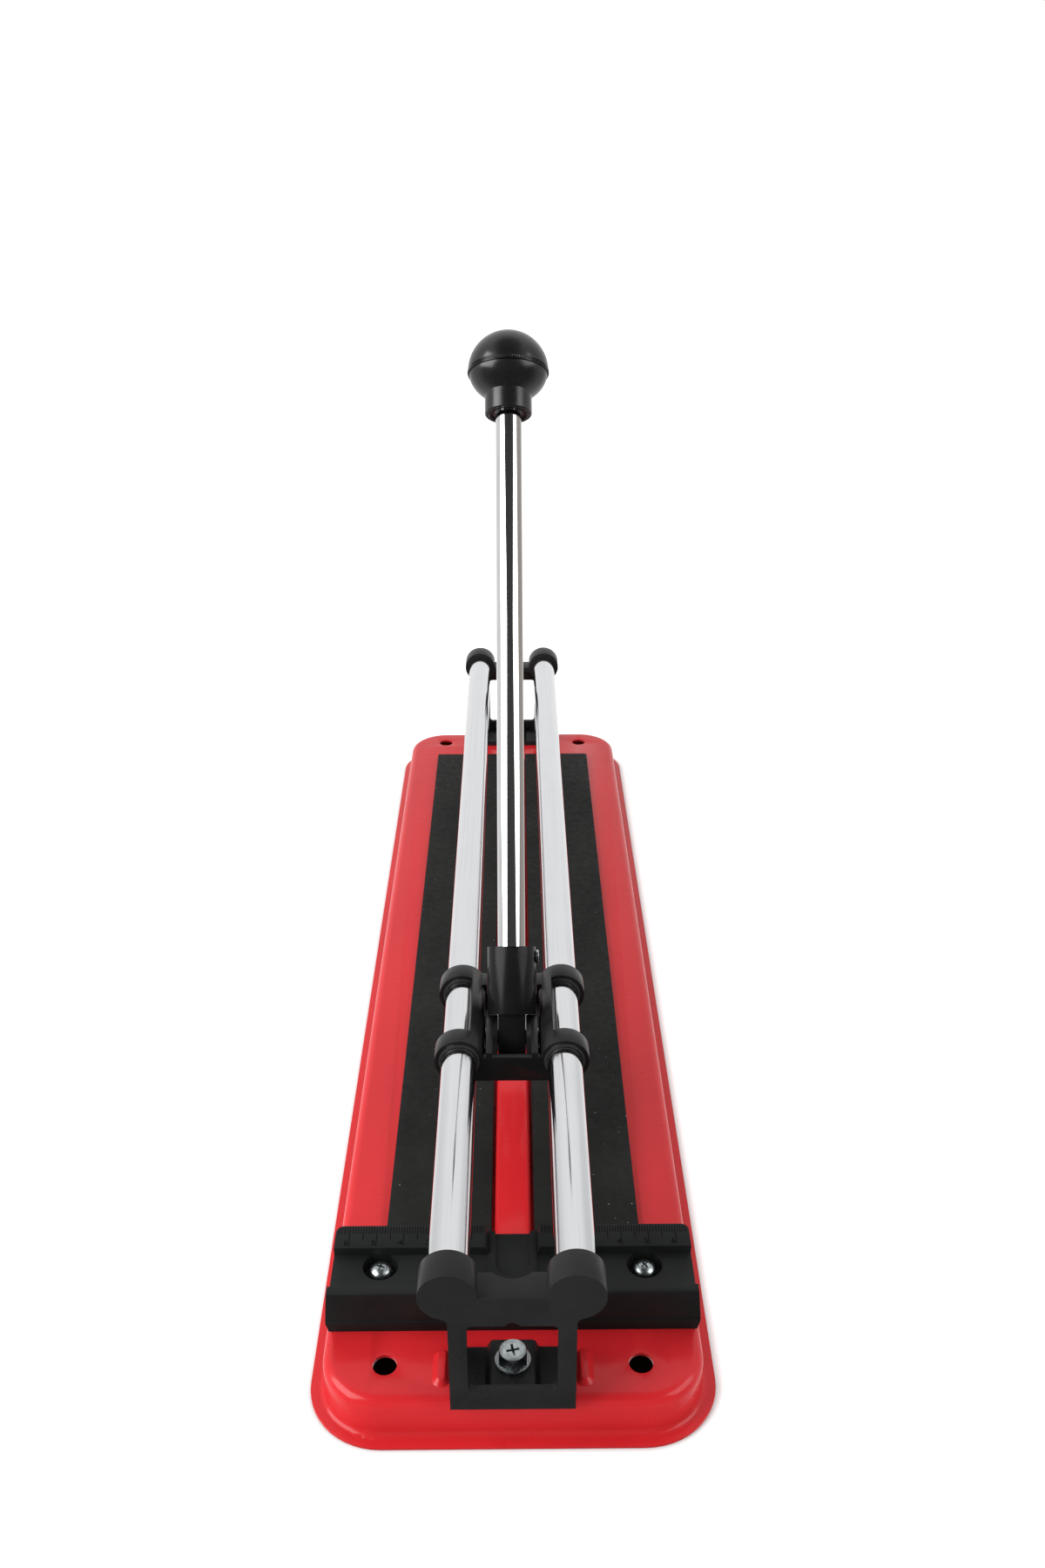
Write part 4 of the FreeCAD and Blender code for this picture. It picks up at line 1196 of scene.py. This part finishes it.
@dataclass
class Studio:
    """Floor, lights, sky and camera."""

    finishes: Finishes
    floor_size: float = 60.0
    lights: tuple[SoftBox, ...] = (
        SoftBox("left_softbox", (-1.25, -0.53, 0.92), 1.3, 1.2, 34.0),
        SoftBox("right_softbox", (1.25, -0.53, 0.92), 1.1, 1.0, 12.0),
        SoftBox("overhead_fill", (0.0, 0.55, 1.8), 1.6, 1.2, 6.0, False),
        SoftBox("front_fill", (0.0, -1.7, 0.7), 1.2, 0.8, 6.0, False),
    )
    falloffs: tuple[Falloff, ...] = (
        Falloff(Axis.Y, -0.45, 0.15, 0.05, 1.0),
        Falloff(Axis.Z, 0.80, 0.95, 1.0, 0.12),
        Falloff(Axis.X, 0.42, 0.80, 1.0, 0.70),
        Falloff(Axis.X, -0.85, -0.42, 0.75, 1.0),
    )
    eye: tuple[float, float, float] = (0.00237, -0.5971, 0.41705)
    pitch: float = 26.85
    yaw: float = 0.295
    roll: float = -0.232
    lens: float = 31.88

    def build(self) -> None:
        """Set the studio up."""
        self._floor()
        self._sky()
        for light in self.lights:
            light.hang()
        self._camera()

    def _floor(self) -> None:
        """A wide pale floor that polished surfaces do not mirror."""
        clear_selection()
        bpy.ops.mesh.primitive_plane_add(size=self.floor_size, location=(0.0, 0.0, 0.0))
        floor = bpy.context.active_object
        floor.name = "studio_floor"
        floor.data.materials.append(self.finishes.floor)
        floor.visible_glossy = False

    def _sky(self) -> None:
        """A surround that looks plain white and lights less from the near side, above and both sides."""
        world = bpy.data.worlds.new("studio_surround")
        world.use_nodes = True
        bpy.context.scene.world = world
        tree = world.node_tree
        coordinates = tree.nodes.new("ShaderNodeTexCoord")
        split = tree.nodes.new("ShaderNodeSeparateXYZ")
        tree.links.new(coordinates.outputs["Generated"], split.inputs["Vector"])
        strength = None
        for falloff in self.falloffs:
            ramp = tree.nodes.new("ShaderNodeMapRange")
            ramp.interpolation_type = "SMOOTHSTEP"
            ramp.inputs["From Min"].default_value = falloff.start
            ramp.inputs["From Max"].default_value = falloff.end
            ramp.inputs["To Min"].default_value = falloff.low
            ramp.inputs["To Max"].default_value = falloff.high
            tree.links.new(split.outputs[falloff.axis.name], ramp.inputs["Value"])
            if strength is None:
                strength = ramp.outputs["Result"]
                continue
            product = tree.nodes.new("ShaderNodeMath")
            product.operation = "MULTIPLY"
            tree.links.new(strength, product.inputs[0])
            tree.links.new(ramp.outputs["Result"], product.inputs[1])
            strength = product.outputs["Value"]
        path = tree.nodes.new("ShaderNodeLightPath")
        backdrop = tree.nodes.new("ShaderNodeMath")
        backdrop.operation = "MAXIMUM"
        tree.links.new(path.outputs["Is Camera Ray"], backdrop.inputs[0])
        tree.links.new(strength, backdrop.inputs[1])
        tree.links.new(backdrop.outputs["Value"], tree.nodes["Background"].inputs["Strength"])
        tree.nodes["Background"].inputs["Color"].default_value = (1.0, 1.0, 1.0, 1.0)

    def _camera(self) -> None:
        """The viewing camera, upright film with no shift."""
        data = bpy.data.cameras.new("studio_camera")
        data.sensor_fit = "VERTICAL"
        data.sensor_height = 36.0
        data.lens = self.lens
        data.clip_start = 0.01
        data.clip_end = 200.0
        camera = bpy.data.objects.new("studio_camera", data)
        turn = Euler((math.radians(90.0 - self.pitch), 0.0, math.radians(-self.yaw)), "XYZ")
        aim = turn.to_matrix().to_4x4()
        tilt = Matrix.Rotation(math.radians(self.roll), 4, "Z")
        camera.matrix_world = Matrix.Translation(self.eye) @ aim @ tilt
        bpy.context.scene.collection.objects.link(camera)
        bpy.context.scene.camera = camera
        bpy.context.scene.view_settings.view_transform = "Standard"


def main() -> None:
    """Build the cutter piece by piece and light it."""
    logging.basicConfig(level=logging.INFO, format="%(name)s: %(message)s")
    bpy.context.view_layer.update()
    finishes = Finishes()
    assemblies = [Tray(finishes), Fence(finishes), Bracket(finishes, End.NEAR, 12.0),
                  Bracket(finishes, End.FAR, -25.0), Rails(finishes), Carriage(finishes), Lever(finishes),
                  CuttingGear(finishes), Studio(finishes)]
    for assembly in assemblies:
        LOG.info("building %s", type(assembly).__name__)
        assembly.build()


if __name__ == "__main__":
    main()
